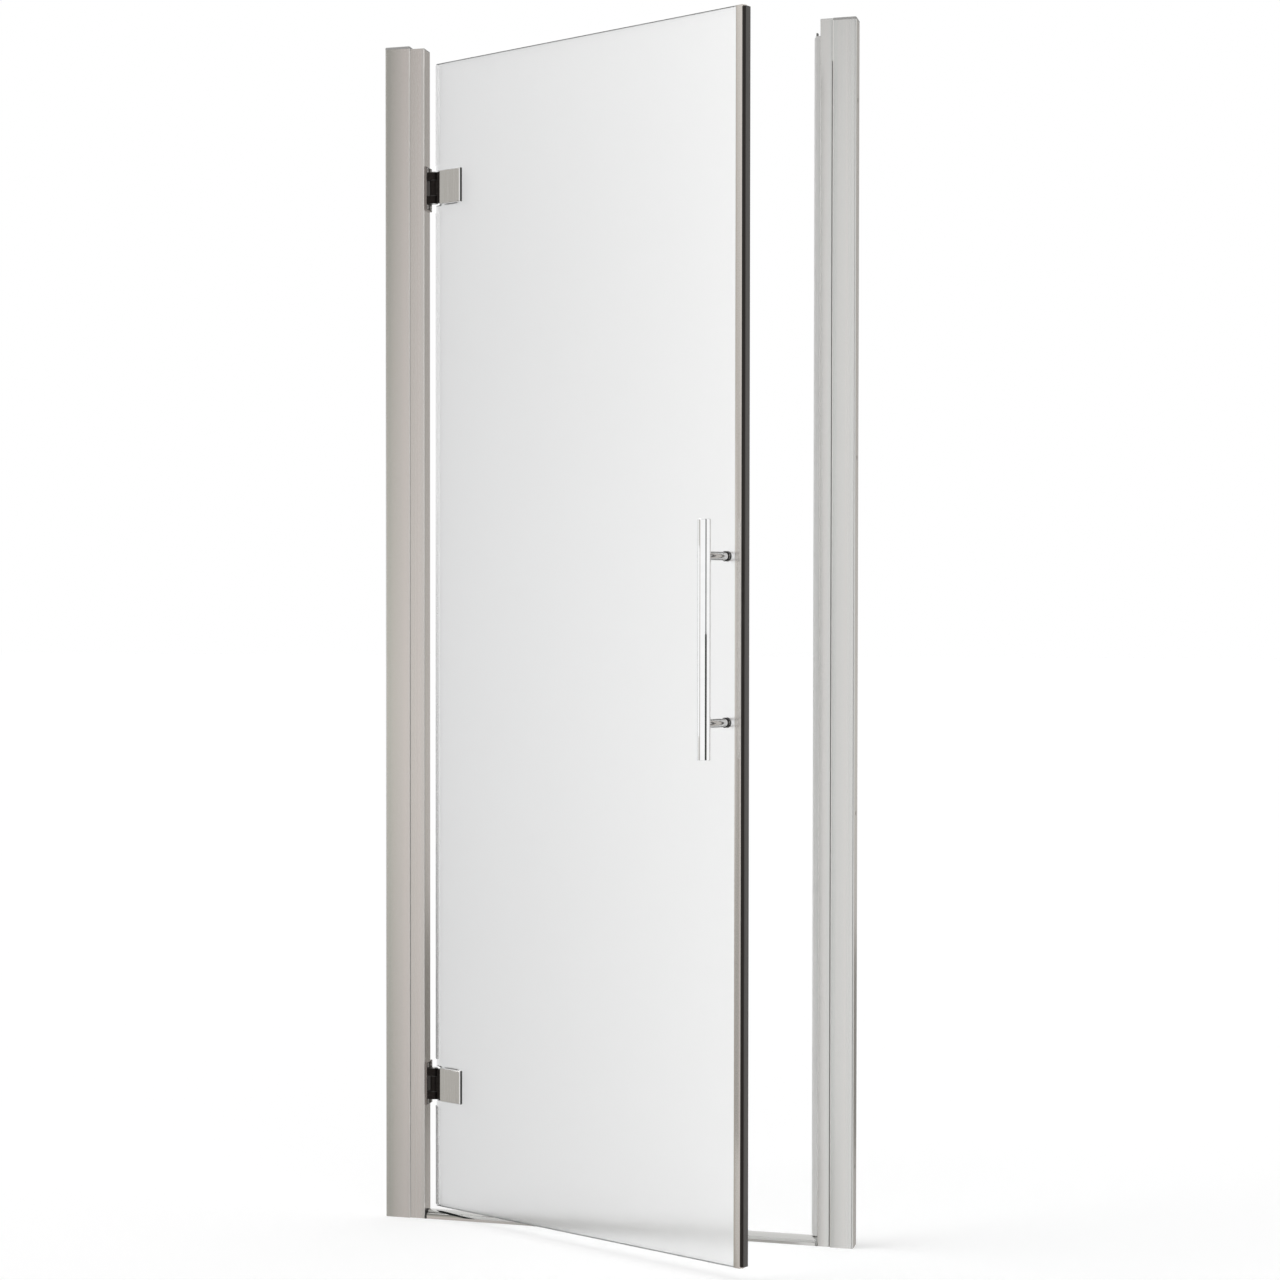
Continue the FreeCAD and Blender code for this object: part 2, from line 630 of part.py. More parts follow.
def hinge_leaf(height):
    """Plate on the post with two fixed knuckles that hold the pin."""
    half = LEAF_HEIGHT / 2
    plate = block(
        (HINGE_FACE_X, -LEAF_DEPTH / 2, height - half),
        (HINGE_FACE_X + LEAF_THICKNESS, LEAF_DEPTH / 2, height + half),
    )
    plate = plate.makeChamfer(LEAF_BEVEL, edges_level_with(plate, ALONG, HINGE_FACE_X + LEAF_THICKNESS))
    for y, z in leaf_screw_places(height):
        seat = countersink(leaf_screw_head(y, z), ALONG * -1, LEAF_SCREW_HEAD_RADIUS, LEAF_SCREW_RADIUS,
                           LEAF_HOLE_CLEARANCE, LEAF_THICKNESS)
        plate = plate.cut(seat)
    knuckle = (BARREL_HEIGHT - KNUCKLE_HEIGHT) / 2
    for low in (height - BARREL_HEIGHT / 2, height + KNUCKLE_HEIGHT / 2):
        barrel = rod((AXIS_X, AXIS_Y, low), UP, BARREL_RADIUS, knuckle)
        web = block(
            (HINGE_FACE_X + LEAF_THICKNESS, AXIS_Y - BARREL_RADIUS, low),
            (AXIS_X, AXIS_Y + BARREL_RADIUS, low + knuckle),
        )
        plate = plate.fuse(barrel.fuse(web))
    bore = rod((AXIS_X, AXIS_Y, height - half), UP, PIN_RADIUS, LEAF_HEIGHT)
    return plate.cut(bore).removeSplitter()


def leaf_screws(height):
    screws = []
    for y, z in leaf_screw_places(height):
        screws.append(countersunk_screw(leaf_screw_head(y, z), ALONG * -1, LEAF_SCREW_HEAD_RADIUS,
                                        LEAF_SCREW_RADIUS, LEAF_SCREW_LENGTH))
    return group(screws)


def nut_plate(height):
    """Tapped steel plate inside the post, behind the hinge leaf."""
    face = HINGE_FACE_X - HINGE_POST_FACE
    half_depth = min(LEAF_DEPTH / 2 - NUT_PLATE_MARGIN, POST_HALF - POST_WALL - PLUG_CLEARANCE)
    half_height = LEAF_HEIGHT / 2
    plate = block(
        (face - NUT_PLATE_THICKNESS, -half_depth, height - half_height),
        (face, half_depth, height + half_height),
    )
    for y, z in leaf_screw_places(height):
        start = (face - NUT_PLATE_THICKNESS - OVERRUN, y, z)
        plate = plate.cut(rod(start, ALONG, LEAF_SCREW_RADIUS, NUT_PLATE_THICKNESS + 2 * OVERRUN))
    return plate


def hinge_pin(height):
    """Headed pin through the knuckles, held by the fixed ones."""
    low = height - BARREL_HEIGHT / 2
    top = height + BARREL_HEIGHT / 2
    pin = rod((0, 0, low), UP, PIN_RADIUS, BARREL_HEIGHT)
    head = rod((0, 0, top), UP, PIN_HEAD_RADIUS, PIN_HEAD_HEIGHT)
    head = head.makeFillet(PIN_HEAD_HEIGHT / 2, edges_level_with(head, UP, top + PIN_HEAD_HEIGHT))
    return on_hinge_axis(pin.fuse(head))


def hinge_bushes(height):
    """Two flanged bushes in the moving knuckle: each flange is the thrust washer of that end."""
    bushes = []
    for direction in (UP, UP * -1):
        end = Vector(0, 0, height) + direction * KNUCKLE_HALF
        sleeve = Part.makeCylinder(BUSH_RADIUS, BUSH_LENGTH, end, direction * -1)
        flange = Part.makeCylinder(BARREL_RADIUS, BUSH_FLANGE, end, direction)
        bore_start = end + direction * (BUSH_FLANGE + OVERRUN)
        bore_length = BUSH_LENGTH + BUSH_FLANGE + 2 * OVERRUN
        bore = Part.makeCylinder(PIN_RADIUS + RUNNING_CLEARANCE, bore_length, bore_start, direction * -1)
        bushes.append(sleeve.fuse(flange).cut(bore))
    return on_door(group(bushes))


def clamp_screw_heights(height):
    return [height + sign * CLAMP_SCREW_SPACING / 2 for sign in (-1, 1)]


def clamp_front(height):
    """Outer clamp plate, with the neck and the moving knuckle in one piece."""
    half = CLAMP_HEIGHT / 2
    plate = block((CLAMP_START, FRONT_OUTER, height - half), (CLAMP_END, FRONT_INNER, height + half))
    plate = plate.makeChamfer(CLAMP_BEVEL, edges_level_with(plate, INWARD, FRONT_OUTER))
    neck_outer = FRONT_INNER - NECK_THICKNESS
    neck = block(
        (NECK_START, neck_outer, height - BARREL_HEIGHT / 2),
        (CLAMP_START, FRONT_INNER, height + BARREL_HEIGHT / 2),
    )
    link = block((0, neck_outer, height - KNUCKLE_HALF), (NECK_START, FRONT_INNER, height + KNUCKLE_HALF))
    knuckle = rod((0, 0, height - KNUCKLE_HALF), UP, BARREL_RADIUS, 2 * KNUCKLE_HALF)
    body = plate.fuse([neck, link, knuckle])
    body = body.cut(rod((0, 0, height - half), UP, BUSH_RADIUS, CLAMP_HEIGHT))
    for z in clamp_screw_heights(height):
        tapped = rod((CLAMP_SCREW_X, FRONT_INNER + OVERRUN, z), OUTWARD, CLAMP_SCREW_RADIUS,
                     CLAMP_SCREW_BITE + OVERRUN)
        body = body.cut(tapped)
    return on_door(body.removeSplitter())


def clamp_screw_head(z):
    """Centre of a clamp screw's head, in the inner face of the back plate."""
    return Vector(CLAMP_SCREW_X, BACK_INNER, z)


def clamp_back(height):
    """Inner clamp plate, with the countersunk seats of the clamp screws."""
    half = CLAMP_HEIGHT / 2
    plate = block((CLAMP_START, BACK_OUTER, height - half), (BACK_END, BACK_INNER, height + half))
    plate = plate.makeChamfer(CLAMP_BEVEL, edges_level_with(plate, INWARD, BACK_INNER))
    for z in clamp_screw_heights(height):
        plate = plate.cut(countersink(clamp_screw_head(z), OUTWARD, CLAMP_SCREW_HEAD_RADIUS,
                                      CLAMP_SCREW_RADIUS, CLAMP_HOLE_CLEARANCE, BACK_PLATE))
    return on_door(plate)


def clamp_screws(height):
    length = BACK_INNER - FRONT_INNER + CLAMP_SCREW_BITE
    screws = []
    for z in clamp_screw_heights(height):
        screws.append(countersunk_screw(clamp_screw_head(z), OUTWARD, CLAMP_SCREW_HEAD_RADIUS,
                                        CLAMP_SCREW_RADIUS, length))
    return on_door(group(screws))


def clamp_gaskets(height):
    """Pads between each clamp plate and the glass, holed for the screws."""
    half = CLAMP_HEIGHT / 2 - GASKET_INSET
    pads = []
    for low_y, plate_end in ((FRONT_INNER, CLAMP_END), (GLASS_INNER, BACK_END)):
        pad = block(
            (CLAMP_START + GASKET_INSET, low_y, height - half),
            (plate_end - GASKET_INSET, low_y + GASKET, height + half),
        )
        for z in clamp_screw_heights(height):
            start = (CLAMP_SCREW_X, low_y - OVERRUN, z)
            radius = CLAMP_SCREW_RADIUS + CLAMP_HOLE_CLEARANCE
            pad = pad.cut(rod(start, INWARD, radius, GASKET + 2 * OVERRUN))
        pads.append(pad)
    return on_door(group(pads))


def glass_sleeves(x, heights, hole_radius, bore_radius):
    """Plastic sleeves that keep screws off the walls of the holes in the glass."""
    sleeves = []
    for z in heights:
        sleeve = rod((x, GLASS_OUTER, z), INWARD, hole_radius - SLEEVE_CLEARANCE, GLASS_THICKNESS)
        bore = rod((x, GLASS_OUTER - OVERRUN, z), INWARD, bore_radius, GLASS_THICKNESS + 2 * OVERRUN)
        sleeves.append(sleeve.cut(bore))
    return on_door(group(sleeves))


# Glass and the pieces on its edges, drawn about the hinge axis

def glass_panel():
    """Toughened glass with ground edges, a notch at each hinge, and holes for the clamps and the handle."""
    pane = block((GLASS_START, GLASS_OUTER, GLASS_BOTTOM), (GLASS_END, GLASS_INNER, GLASS_TOP))
    faces = edges_level_with(pane, INWARD, GLASS_OUTER) + edges_level_with(pane, INWARD, GLASS_INNER)
    pane = pane.makeChamfer(GLASS_ARRIS, faces)
    notch_half = BARREL_HEIGHT / 2 + NOTCH_GAP
    notch_end = NECK_START + NOTCH_GAP
    through = GLASS_THICKNESS + 2 * OVERRUN
    for height in HINGE_HEIGHTS.values():
        notch = block(
            (GLASS_START - OVERRUN, GLASS_OUTER - OVERRUN, height - notch_half),
            (notch_end, GLASS_OUTER - OVERRUN + through, height + notch_half),
        )
        corner = min(NOTCH_CORNER, (notch_end - GLASS_START) / 2)
        deep = [edge for edge in edges_level_with(notch, ALONG, notch_end) if edge.BoundBox.YLength > OVERRUN]
        pane = pane.cut(notch.makeFillet(corner, deep))
        for z in clamp_screw_heights(height):
            start = (CLAMP_SCREW_X, GLASS_OUTER - OVERRUN, z)
            pane = pane.cut(rod(start, INWARD, CLAMP_GLASS_HOLE_RADIUS, through))
    for z in handle_heights():
        start = (HANDLE_X, GLASS_OUTER - OVERRUN, z)
        pane = pane.cut(rod(start, INWARD, HANDLE_GLASS_HOLE_RADIUS, through))
    return on_door(pane)


def about_glass(outline):
    """Plan places given as (distance along the door, distance in from the middle of the glass)."""
    return [(x, AXIS_FROM_GLASS + y) for x, y in outline]


def edge_trim():
    """Bright channel on the free edge of the glass, with a T rib for the magnetic seal."""
    inner = GLASS_THICKNESS / 2 + SEAL_CLEARANCE
    outer = inner + TRIM_WALL
    leg_start = GLASS_END - TRIM_LEG
    tee = tee_outline(TRIM_END, TEE_STEM, TEE_STEM_LENGTH, TEE_HEAD, TEE_HEAD_THICKNESS, 0)
    outline = [(leg_start, -outer), (TRIM_END, -outer)]
    outline += tee
    outline += [
        (TRIM_END, outer),
        (leg_start, outer),
        (leg_start, inner),
        (GLASS_END, inner),
        (GLASS_END, -inner),
        (leg_start, -inner),
    ]
    return on_door(prism(about_glass(outline), GLASS_BOTTOM, GLASS_TOP))


def magnet_places():
    """Start and end of the door magnet along the door."""
    end = SEAL_END - MAGNET_COVER
    return end - MAGNET_THICKNESS, end


def door_seal():
    """Magnetic seal on the trim: a soft section with a T slot and a pocket for the magnet."""
    half = DOOR_SEAL_WIDTH / 2
    low = GLASS_BOTTOM + DOOR_SEAL_SHORT
    high = GLASS_TOP - DOOR_SEAL_SHORT
    outline = [(TRIM_END, -half), (SEAL_END, -half), (SEAL_END, half), (TRIM_END, half)]
    body = prism(about_glass(outline), low, high)
    body = round_uprights(body, DOOR_SEAL_ROUND, about_glass(outline[1:3]))
    slot = tee_outline(TRIM_END, TEE_STEM + 2 * SEAL_CLEARANCE, TEE_STEM_LENGTH - SEAL_CLEARANCE,
                       TEE_HEAD + 2 * SEAL_CLEARANCE, TEE_HEAD_THICKNESS + 2 * SEAL_CLEARANCE, OVERRUN)
    body = body.cut(prism(about_glass(slot), low - OVERRUN, high + OVERRUN))
    start, end = magnet_places()
    pocket_half = MAGNET_WIDTH / 2 + SEAL_CLEARANCE
    pocket = block(
        (start - SEAL_CLEARANCE, AXIS_FROM_GLASS - pocket_half, low - OVERRUN),
        (end, AXIS_FROM_GLASS + pocket_half, high + OVERRUN),
    )
    return on_door(body.cut(pocket))


def door_magnet():
    start, end = magnet_places()
    half = MAGNET_WIDTH / 2
    low = (start, AXIS_FROM_GLASS - half, GLASS_BOTTOM + DOOR_SEAL_SHORT)
    high = (end, AXIS_FROM_GLASS + half, GLASS_TOP - DOOR_SEAL_SHORT)
    return on_door(block(low, high))


def strike_magnet_places():
    """Start and end of the strike magnet along X."""
    start = STRIKE_FACE_X - STRIKE_SEAL_REACH + MAGNET_COVER
    return start, start + MAGNET_THICKNESS


def strike_seal():
    """Magnetic seal on the strike post, with a T foot in the post's slot and a fin inside the door."""
    half = STRIKE_SEAL_WIDTH / 2
    nose = STRIKE_FACE_X - STRIKE_SEAL_REACH
    fin_outer = DOOR_SEAL_WIDTH / 2 + STOP_GAP
    fin_inner = fin_outer + STOP_FIN
    fin_end = nose - STOP_FIN_OVERLAP
    fin_root = STRIKE_FACE_X - STOP_FIN_ROOT
    stem = SLOT_MOUTH - 2 * SEAL_CLEARANCE
    head = SLOT_WIDTH - 2 * SEAL_CLEARANCE
    outline = [(nose, -half), (STRIKE_FACE_X, -half)]
    outline += tee_outline(STRIKE_FACE_X, stem, SLOT_LIP + SEAL_CLEARANCE, head,
                           SLOT_POCKET - 2 * SEAL_CLEARANCE, 0)
    outline += [
        (STRIKE_FACE_X, fin_inner),
        (fin_end, fin_inner),
        (fin_end, fin_outer),
        (fin_root, fin_outer),
        (fin_root, half),
        (nose, half),
    ]
    body = prism(outline, STRIKE_SEAL_LOW, STRIKE_SEAL_HIGH)
    start, end = strike_magnet_places()
    pocket_half = MAGNET_WIDTH / 2 + SEAL_CLEARANCE
    pocket = block(
        (start, -pocket_half, STRIKE_SEAL_LOW - OVERRUN),
        (end + SEAL_CLEARANCE, pocket_half, STRIKE_SEAL_HIGH + OVERRUN),
    )
    return body.cut(pocket)


def strike_magnet():
    start, end = strike_magnet_places()
    half = MAGNET_WIDTH / 2
    return block((start, -half, STRIKE_SEAL_LOW), (end, half, STRIKE_SEAL_HIGH + STRIKE_MAGNET_PROUD))


def hinge_seals():
    """Clear seal on the hinge edge of the glass, in three lengths that clear the hinges."""
    inner = GLASS_THICKNESS / 2
    outer = inner + CLIP_WALL
    web_start = GLASS_START - CLIP_WALL
    leg_end = GLASS_START + CLIP_LEG
    fin_end = web_start - HINGE_SEAL_FIN
    outline = [
        (web_start, -outer),
        (leg_end, -outer),
        (leg_end, -inner),
        (GLASS_START, -inner),
        (GLASS_START, inner),
        (leg_end, inner),
        (leg_end, outer),
        (web_start, outer),
        (web_start, inner),
        (fin_end, outer),
        (fin_end, outer - HINGE_SEAL_FIN_THICKNESS),
        (web_start, inner - HINGE_SEAL_FIN_THICKNESS),
    ]
    break_half = LEAF_HEIGHT / 2 + HINGE_SEAL_BREAK
    stops = [GLASS_BOTTOM]
    for height in sorted(HINGE_HEIGHTS.values()):
        stops += [height - break_half, height + break_half]
    stops.append(GLASS_TOP)
    lengths = [prism(about_glass(outline), low, high) for low, high in zip(stops[0::2], stops[1::2])]
    return on_door(group(lengths))


def drip_seal():
    """Clear seal on the glass's bottom edge: a bulb over the sill, and a fin that sheds water inwards."""
    inner = GLASS_THICKNESS / 2
    outer = inner + CLIP_WALL
    top = GLASS_BOTTOM + DRIP_LEG
    web_low = GLASS_BOTTOM - CLIP_WALL
    bulb_low = SILL_HEIGHT + DRIP_GAP
    bulb_half = DRIP_BULB_WIDTH / 2
    fin_end = outer + DRIP_FIN_REACH
    outline = [
        (-outer, top),
        (-outer, web_low),
        (-bulb_half, web_low),
        (-bulb_half, bulb_low),
        (bulb_half, bulb_low),
        (bulb_half, web_low),
        (outer, web_low),
        (fin_end, bulb_low),
        (fin_end, bulb_low + DRIP_FIN_THICKNESS),
        (outer, web_low + DRIP_FIN_THICKNESS),
        (outer, top),
        (inner, top),
        (inner, GLASS_BOTTOM),
        (-inner, GLASS_BOTTOM),
        (-inner, top),
    ]
    points = [Vector(0, AXIS_FROM_GLASS + y, z) for y, z in outline]
    edges = [Part.LineSegment(a, b).toShape() for a, b in zip(points, points[1:] + points[:1])]
    start = GLASS_START + CLIP_LEG + SEAL_CLEARANCE
    end = GLASS_END - TRIM_LEG - SEAL_CLEARANCE
    return on_door(bar_along_x(edges, start, end))


# Handle, drawn about the hinge axis

def handle_heights():
    return [GLASS_MIDDLE + sign * HANDLE_CENTRES / 2 for sign in (-1, 1)]


def handle_bar():
    low = GLASS_MIDDLE - HANDLE_LENGTH / 2
    bar = rod((HANDLE_X, BAR_Y, low), UP, BAR_RADIUS, HANDLE_LENGTH)
    ends = edges_level_with(bar, UP, low) + edges_level_with(bar, UP, low + HANDLE_LENGTH)
    return on_door(bar.makeFillet(BAR_END_ROUND, ends))


def handle_standoffs():
    """Short posts between the glass and the bar, saddled to the bar and tapped for the studs."""
    seat = GLASS_OUTER - HANDLE_WASHER
    posts = []
    for z in handle_heights():
        post = rod((HANDLE_X, seat, z), OUTWARD, STANDOFF_RADIUS, seat - BAR_Y)
        post = post.cut(rod((HANDLE_X, BAR_Y, z - HANDLE_CENTRES / 2), UP, BAR_RADIUS, HANDLE_CENTRES))
        tapped = rod((HANDLE_X, seat + OVERRUN, z), OUTWARD, STUD_RADIUS, STUD_BITE + OVERRUN)
        posts.append(post.cut(tapped))
    return on_door(group(posts))


def handle_washers(low_y):
    """Soft washers on one face of the glass."""
    washers = []
    for z in handle_heights():
        disc = rod((HANDLE_X, low_y, z), INWARD, HANDLE_WASHER_RADIUS, HANDLE_WASHER)
        start = (HANDLE_X, low_y - OVERRUN, z)
        hole = rod(start, INWARD, STUD_RADIUS + HOLE_CLEARANCE, HANDLE_WASHER + 2 * OVERRUN)
        washers.append(disc.cut(hole))
    return on_door(group(washers))


def handle_studs():
    """Threaded studs through the glass, between the standoffs and the cap nuts."""
    outer = GLASS_OUTER - HANDLE_WASHER - STUD_BITE
    inner = GLASS_INNER + HANDLE_WASHER + STUD_BITE
    studs = [rod((HANDLE_X, outer, z), INWARD, STUD_RADIUS, inner - outer) for z in handle_heights()]
    return on_door(group(studs))


def handle_cap_nuts():
    """Round cap nuts inside the door."""
    seat = GLASS_INNER + HANDLE_WASHER
    end = seat + CAP_NUT_LENGTH
    nuts = []
    for z in handle_heights():
        nut = rod((HANDLE_X, seat, z), INWARD, CAP_NUT_RADIUS, CAP_NUT_LENGTH)
        nut = nut.makeFillet(CAP_NUT_ROUND, edges_level_with(nut, INWARD, end))
        tapped = rod((HANDLE_X, seat - OVERRUN, z), INWARD, STUD_RADIUS, STUD_BITE + OVERRUN)
        nuts.append(nut.cut(tapped))
    return on_door(group(nuts))


# Every sub-part by name

def build():
    parts = {
        "wall_profile_left": wall_profile(HINGE_SIDE),
        "wall_profile_right": wall_profile(STRIKE_SIDE),
        "hinge_post": hinge_post(),
        "strike_post": strike_post(),
        "wall_cap_left": hinge_wall_cap(),
        "hinge_post_cap": hinge_post_cap(),
        "post_cap_right": strike_cap(),
        "lock_screws_left": lock_screws(HINGE_SIDE),
        "lock_screws_right": lock_screws(STRIKE_SIDE),
        "screw_covers_left": screw_covers(HINGE_SIDE),
        "screw_covers_right": screw_covers(STRIKE_SIDE),
        "sill_bar": sill_bar(),
        "sill_end_cap_left": sill_end_cap(HINGE_FACE_X, 1),
        "sill_end_cap_right": sill_end_cap(STRIKE_FACE_X, -1),
        "strike_seal": strike_seal(),
        "strike_magnet": strike_magnet(),
        "glass_panel": glass_panel(),
        "edge_trim": edge_trim(),
        "door_seal": door_seal(),
        "door_magnet": door_magnet(),
        "hinge_edge_seals": hinge_seals(),
        "drip_seal": drip_seal(),
        "handle_bar": handle_bar(),
        "handle_standoffs": handle_standoffs(),
        "handle_washers_outer": handle_washers(GLASS_OUTER - HANDLE_WASHER),
        "handle_washers_inner": handle_washers(GLASS_INNER),
        "handle_studs": handle_studs(),
        "handle_cap_nuts": handle_cap_nuts(),
        "handle_glass_sleeves": glass_sleeves(HANDLE_X, handle_heights(), HANDLE_GLASS_HOLE_RADIUS,
                                              STUD_RADIUS + HOLE_CLEARANCE),
    }
    for name, height in HINGE_HEIGHTS.items():
        parts[f"{name}_hinge_leaf"] = hinge_leaf(height)
        parts[f"{name}_hinge_leaf_screws"] = leaf_screws(height)
        parts[f"{name}_hinge_nut_plate"] = nut_plate(height)
        parts[f"{name}_hinge_pin"] = hinge_pin(height)
        parts[f"{name}_hinge_bushes"] = hinge_bushes(height)
        parts[f"{name}_hinge_clamp_front"] = clamp_front(height)
        parts[f"{name}_hinge_clamp_back"] = clamp_back(height)
        parts[f"{name}_hinge_clamp_screws"] = clamp_screws(height)
        parts[f"{name}_hinge_gaskets"] = clamp_gaskets(height)
        parts[f"{name}_hinge_glass_sleeves"] = glass_sleeves(
            CLAMP_SCREW_X, clamp_screw_heights(height), CLAMP_GLASS_HOLE_RADIUS,
            CLAMP_SCREW_RADIUS + CLAMP_HOLE_CLEARANCE)
    return parts


os.makedirs("parts", exist_ok=True)
for name, shape in build().items():
    shape.exportStep(f"parts/{name}.step")
    state = "valid" if shape.isValid() else "BROKEN"
    print(name, len(shape.Solids), "solids", round(shape.Volume), "mm3", state)
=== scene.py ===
# %% [markdown]
# A hinged shower door for an alcove, standing a little open. Two aluminium wall profiles hold two
# sliding posts, a domed sill joins them along the tray, and an 8 mm pane swings on two chrome hinges.
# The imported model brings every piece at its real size. This lesson dresses it: long extrusions are
# drawn again with finer corners, small hardware gets clean edges, and every surface gets a finish.

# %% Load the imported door
import json
import math
from functools import partial
import bmesh
import bpy
from mathutils import Matrix, Vector


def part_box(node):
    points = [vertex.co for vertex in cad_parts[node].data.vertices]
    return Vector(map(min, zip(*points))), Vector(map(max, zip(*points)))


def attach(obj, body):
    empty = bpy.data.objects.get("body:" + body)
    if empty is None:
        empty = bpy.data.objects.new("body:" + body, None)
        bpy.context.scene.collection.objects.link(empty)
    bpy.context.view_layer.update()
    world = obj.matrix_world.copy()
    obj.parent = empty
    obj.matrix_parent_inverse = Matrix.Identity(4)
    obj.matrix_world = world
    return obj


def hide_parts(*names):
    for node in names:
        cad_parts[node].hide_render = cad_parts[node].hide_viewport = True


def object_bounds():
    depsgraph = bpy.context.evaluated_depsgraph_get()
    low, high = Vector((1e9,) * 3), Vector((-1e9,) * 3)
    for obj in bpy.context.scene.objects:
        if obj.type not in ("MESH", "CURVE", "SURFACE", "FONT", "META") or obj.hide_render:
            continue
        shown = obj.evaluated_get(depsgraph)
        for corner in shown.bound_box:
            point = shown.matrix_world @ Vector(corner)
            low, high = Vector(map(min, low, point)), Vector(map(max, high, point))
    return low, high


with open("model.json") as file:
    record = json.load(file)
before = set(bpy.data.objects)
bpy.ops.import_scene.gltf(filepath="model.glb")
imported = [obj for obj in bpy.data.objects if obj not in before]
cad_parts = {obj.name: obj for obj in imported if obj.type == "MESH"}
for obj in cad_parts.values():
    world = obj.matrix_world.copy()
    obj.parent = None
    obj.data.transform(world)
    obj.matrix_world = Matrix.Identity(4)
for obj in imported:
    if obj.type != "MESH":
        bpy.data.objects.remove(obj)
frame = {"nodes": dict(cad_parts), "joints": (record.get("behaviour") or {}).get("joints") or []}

cad_low, cad_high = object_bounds()
cad_nodes = frame["nodes"]
MM = 0.001
print("packed nodes:", len(cad_nodes), "box:", [round(v, 4) for v in (*cad_low, *cad_high)])

# %% [markdown]
# The camera stands to the right of the doorway at about waist height, looking slightly left, so the
# open door comes towards it. Its place was worked out by matching the corners of the posts, the pane
# and the handle with the picture. A long lens at that distance keeps the uprights nearly parallel, and
# a shift of the lens frames the door like a crop out of a wider picture. A first helper puts every new
# object into the scene.

# %% Camera
FOCAL_PIXELS = 2552
FRAME_PIXELS = 1280
CAMERA_PLACE = (0.968, -3.947, 0.978)
CAMERA_YAW = 16.57
CAMERA_PITCH = -1.18
SHIFT_RIGHT, SHIFT_UP = 148, 30


def new_object(name, data):
    """A new object in the scene."""
    made = bpy.data.objects.new(name, data)
    bpy.context.scene.collection.objects.link(made)
    return made


lens = bpy.data.cameras.new("waist_height_lens")
lens.lens = lens.sensor_width * FOCAL_PIXELS / FRAME_PIXELS
lens.shift_x = SHIFT_RIGHT / FRAME_PIXELS
lens.shift_y = SHIFT_UP / FRAME_PIXELS
camera = new_object("waist_height_camera", lens)
camera.location = CAMERA_PLACE
camera.rotation_euler = (math.radians(90 + CAMERA_PITCH), 0, math.radians(CAMERA_YAW))
bpy.context.scene.camera = camera
bpy.context.scene.view_settings.view_transform = "Standard"
print("focal length:", round(lens.lens, 1), "mm")

# %% [markdown]
# A white studio: the rays that the camera sends out, directly, by a mirror or through glass, meet pure
# white, while the light that falls on the door stays at a plain level. The Light Path node tells those
# rays apart. The floor is a real pale floor that takes the door's shadow, lifted to white for the camera.

# %% Helpers for node trees
def add_node(tree, kind, inputs=None, **settings):
    """Adds a node, sets its properties by keyword and its input sockets by name."""
    made = tree.nodes.new(kind)
    for name, value in settings.items():
        setattr(made, name, value)
    for name, value in (inputs or {}).items():
        made.inputs[name].default_value = value
    return made


def link(tree, *pairs):
    """Links node outputs to inputs, given as (node, socket, node, socket)."""
    for source, out, target, into in pairs:
        tree.links.new(source.outputs[out], target.inputs[into])


def shader_of(finish):
    """The shader in a finish's tree."""
    return finish.node_tree.nodes["Principled BSDF"]


def new_finish(name, metallic=0.0):
    """An empty finish."""
    finish = bpy.data.materials.new(name)
    finish.use_nodes = True
    shader_of(finish).inputs["Metallic"].default_value = metallic
    return finish


def ramp_between(tree, source, low, high):
    """Maps 0 and 1 to two values."""
    span = add_node(tree, "ShaderNodeMapRange", {"To Min": low, "To Max": high})
    tree.links.new(source, span.inputs["Value"])
    return span.outputs["Result"]


def picture_rays(tree):
    """1 for rays that show the background: from the camera, by reflection, or through glass."""
    path = add_node(tree, "ShaderNodeLightPath")
    either = add_node(tree, "ShaderNodeMath", operation="MAXIMUM")
    any_of = add_node(tree, "ShaderNodeMath", operation="MAXIMUM")
    link(tree, (path, "Is Camera Ray", either, 0), (path, "Is Glossy Ray", either, 1),
         (either, 0, any_of, 0), (path, "Is Transmission Ray", any_of, 1))
    return any_of.outputs[0]


def choose_by_ray(tree, question, no, yes):
    """Shows one shader or another, as an output of the Light Path node says."""
    path = add_node(tree, "ShaderNodeLightPath")
    pick = add_node(tree, "ShaderNodeMixShader")
    link(tree, (path, question, pick, "Fac"), (no, 0, pick, 1), (yes, 0, pick, 2),
         (pick, 0, tree.nodes["Material Output"], "Surface"))


# %% White surroundings
AMBIENT = 0.62

studio = bpy.data.worlds.new("white_studio")
studio.use_nodes = True
studio.cycles.sampling_method = "NONE"
bpy.context.scene.world = studio
sky = studio.node_tree.nodes["Background"]
sky.inputs["Color"].default_value = (1, 1, 1, 1)
studio.node_tree.links.new(
    ramp_between(studio.node_tree, picture_rays(studio.node_tree), AMBIENT, 1), sky.inputs["Strength"])
print("light from all round:", AMBIENT)

# %% Pale floor
FLOOR_COLOUR = (0.70, 0.70, 0.70, 1)
FLOOR_ROUGHNESS, FLOOR_SHINE = 0.9, 0.0
FLOOR_LIFT = 0.40
FLOOR_SIZE = 120.0

floor_paint = new_finish("pale_floor")
paint = shader_of(floor_paint)
paint.inputs["Base Color"].default_value = FLOOR_COLOUR
paint.inputs["Roughness"].default_value = FLOOR_ROUGHNESS
paint.inputs["Specular IOR Level"].default_value = FLOOR_SHINE
paint.inputs["Emission Color"].default_value = (1, 1, 1, 1)
floor_paint.node_tree.links.new(
    ramp_between(floor_paint.node_tree, picture_rays(floor_paint.node_tree), 0, FLOOR_LIFT),
    paint.inputs["Emission Strength"])


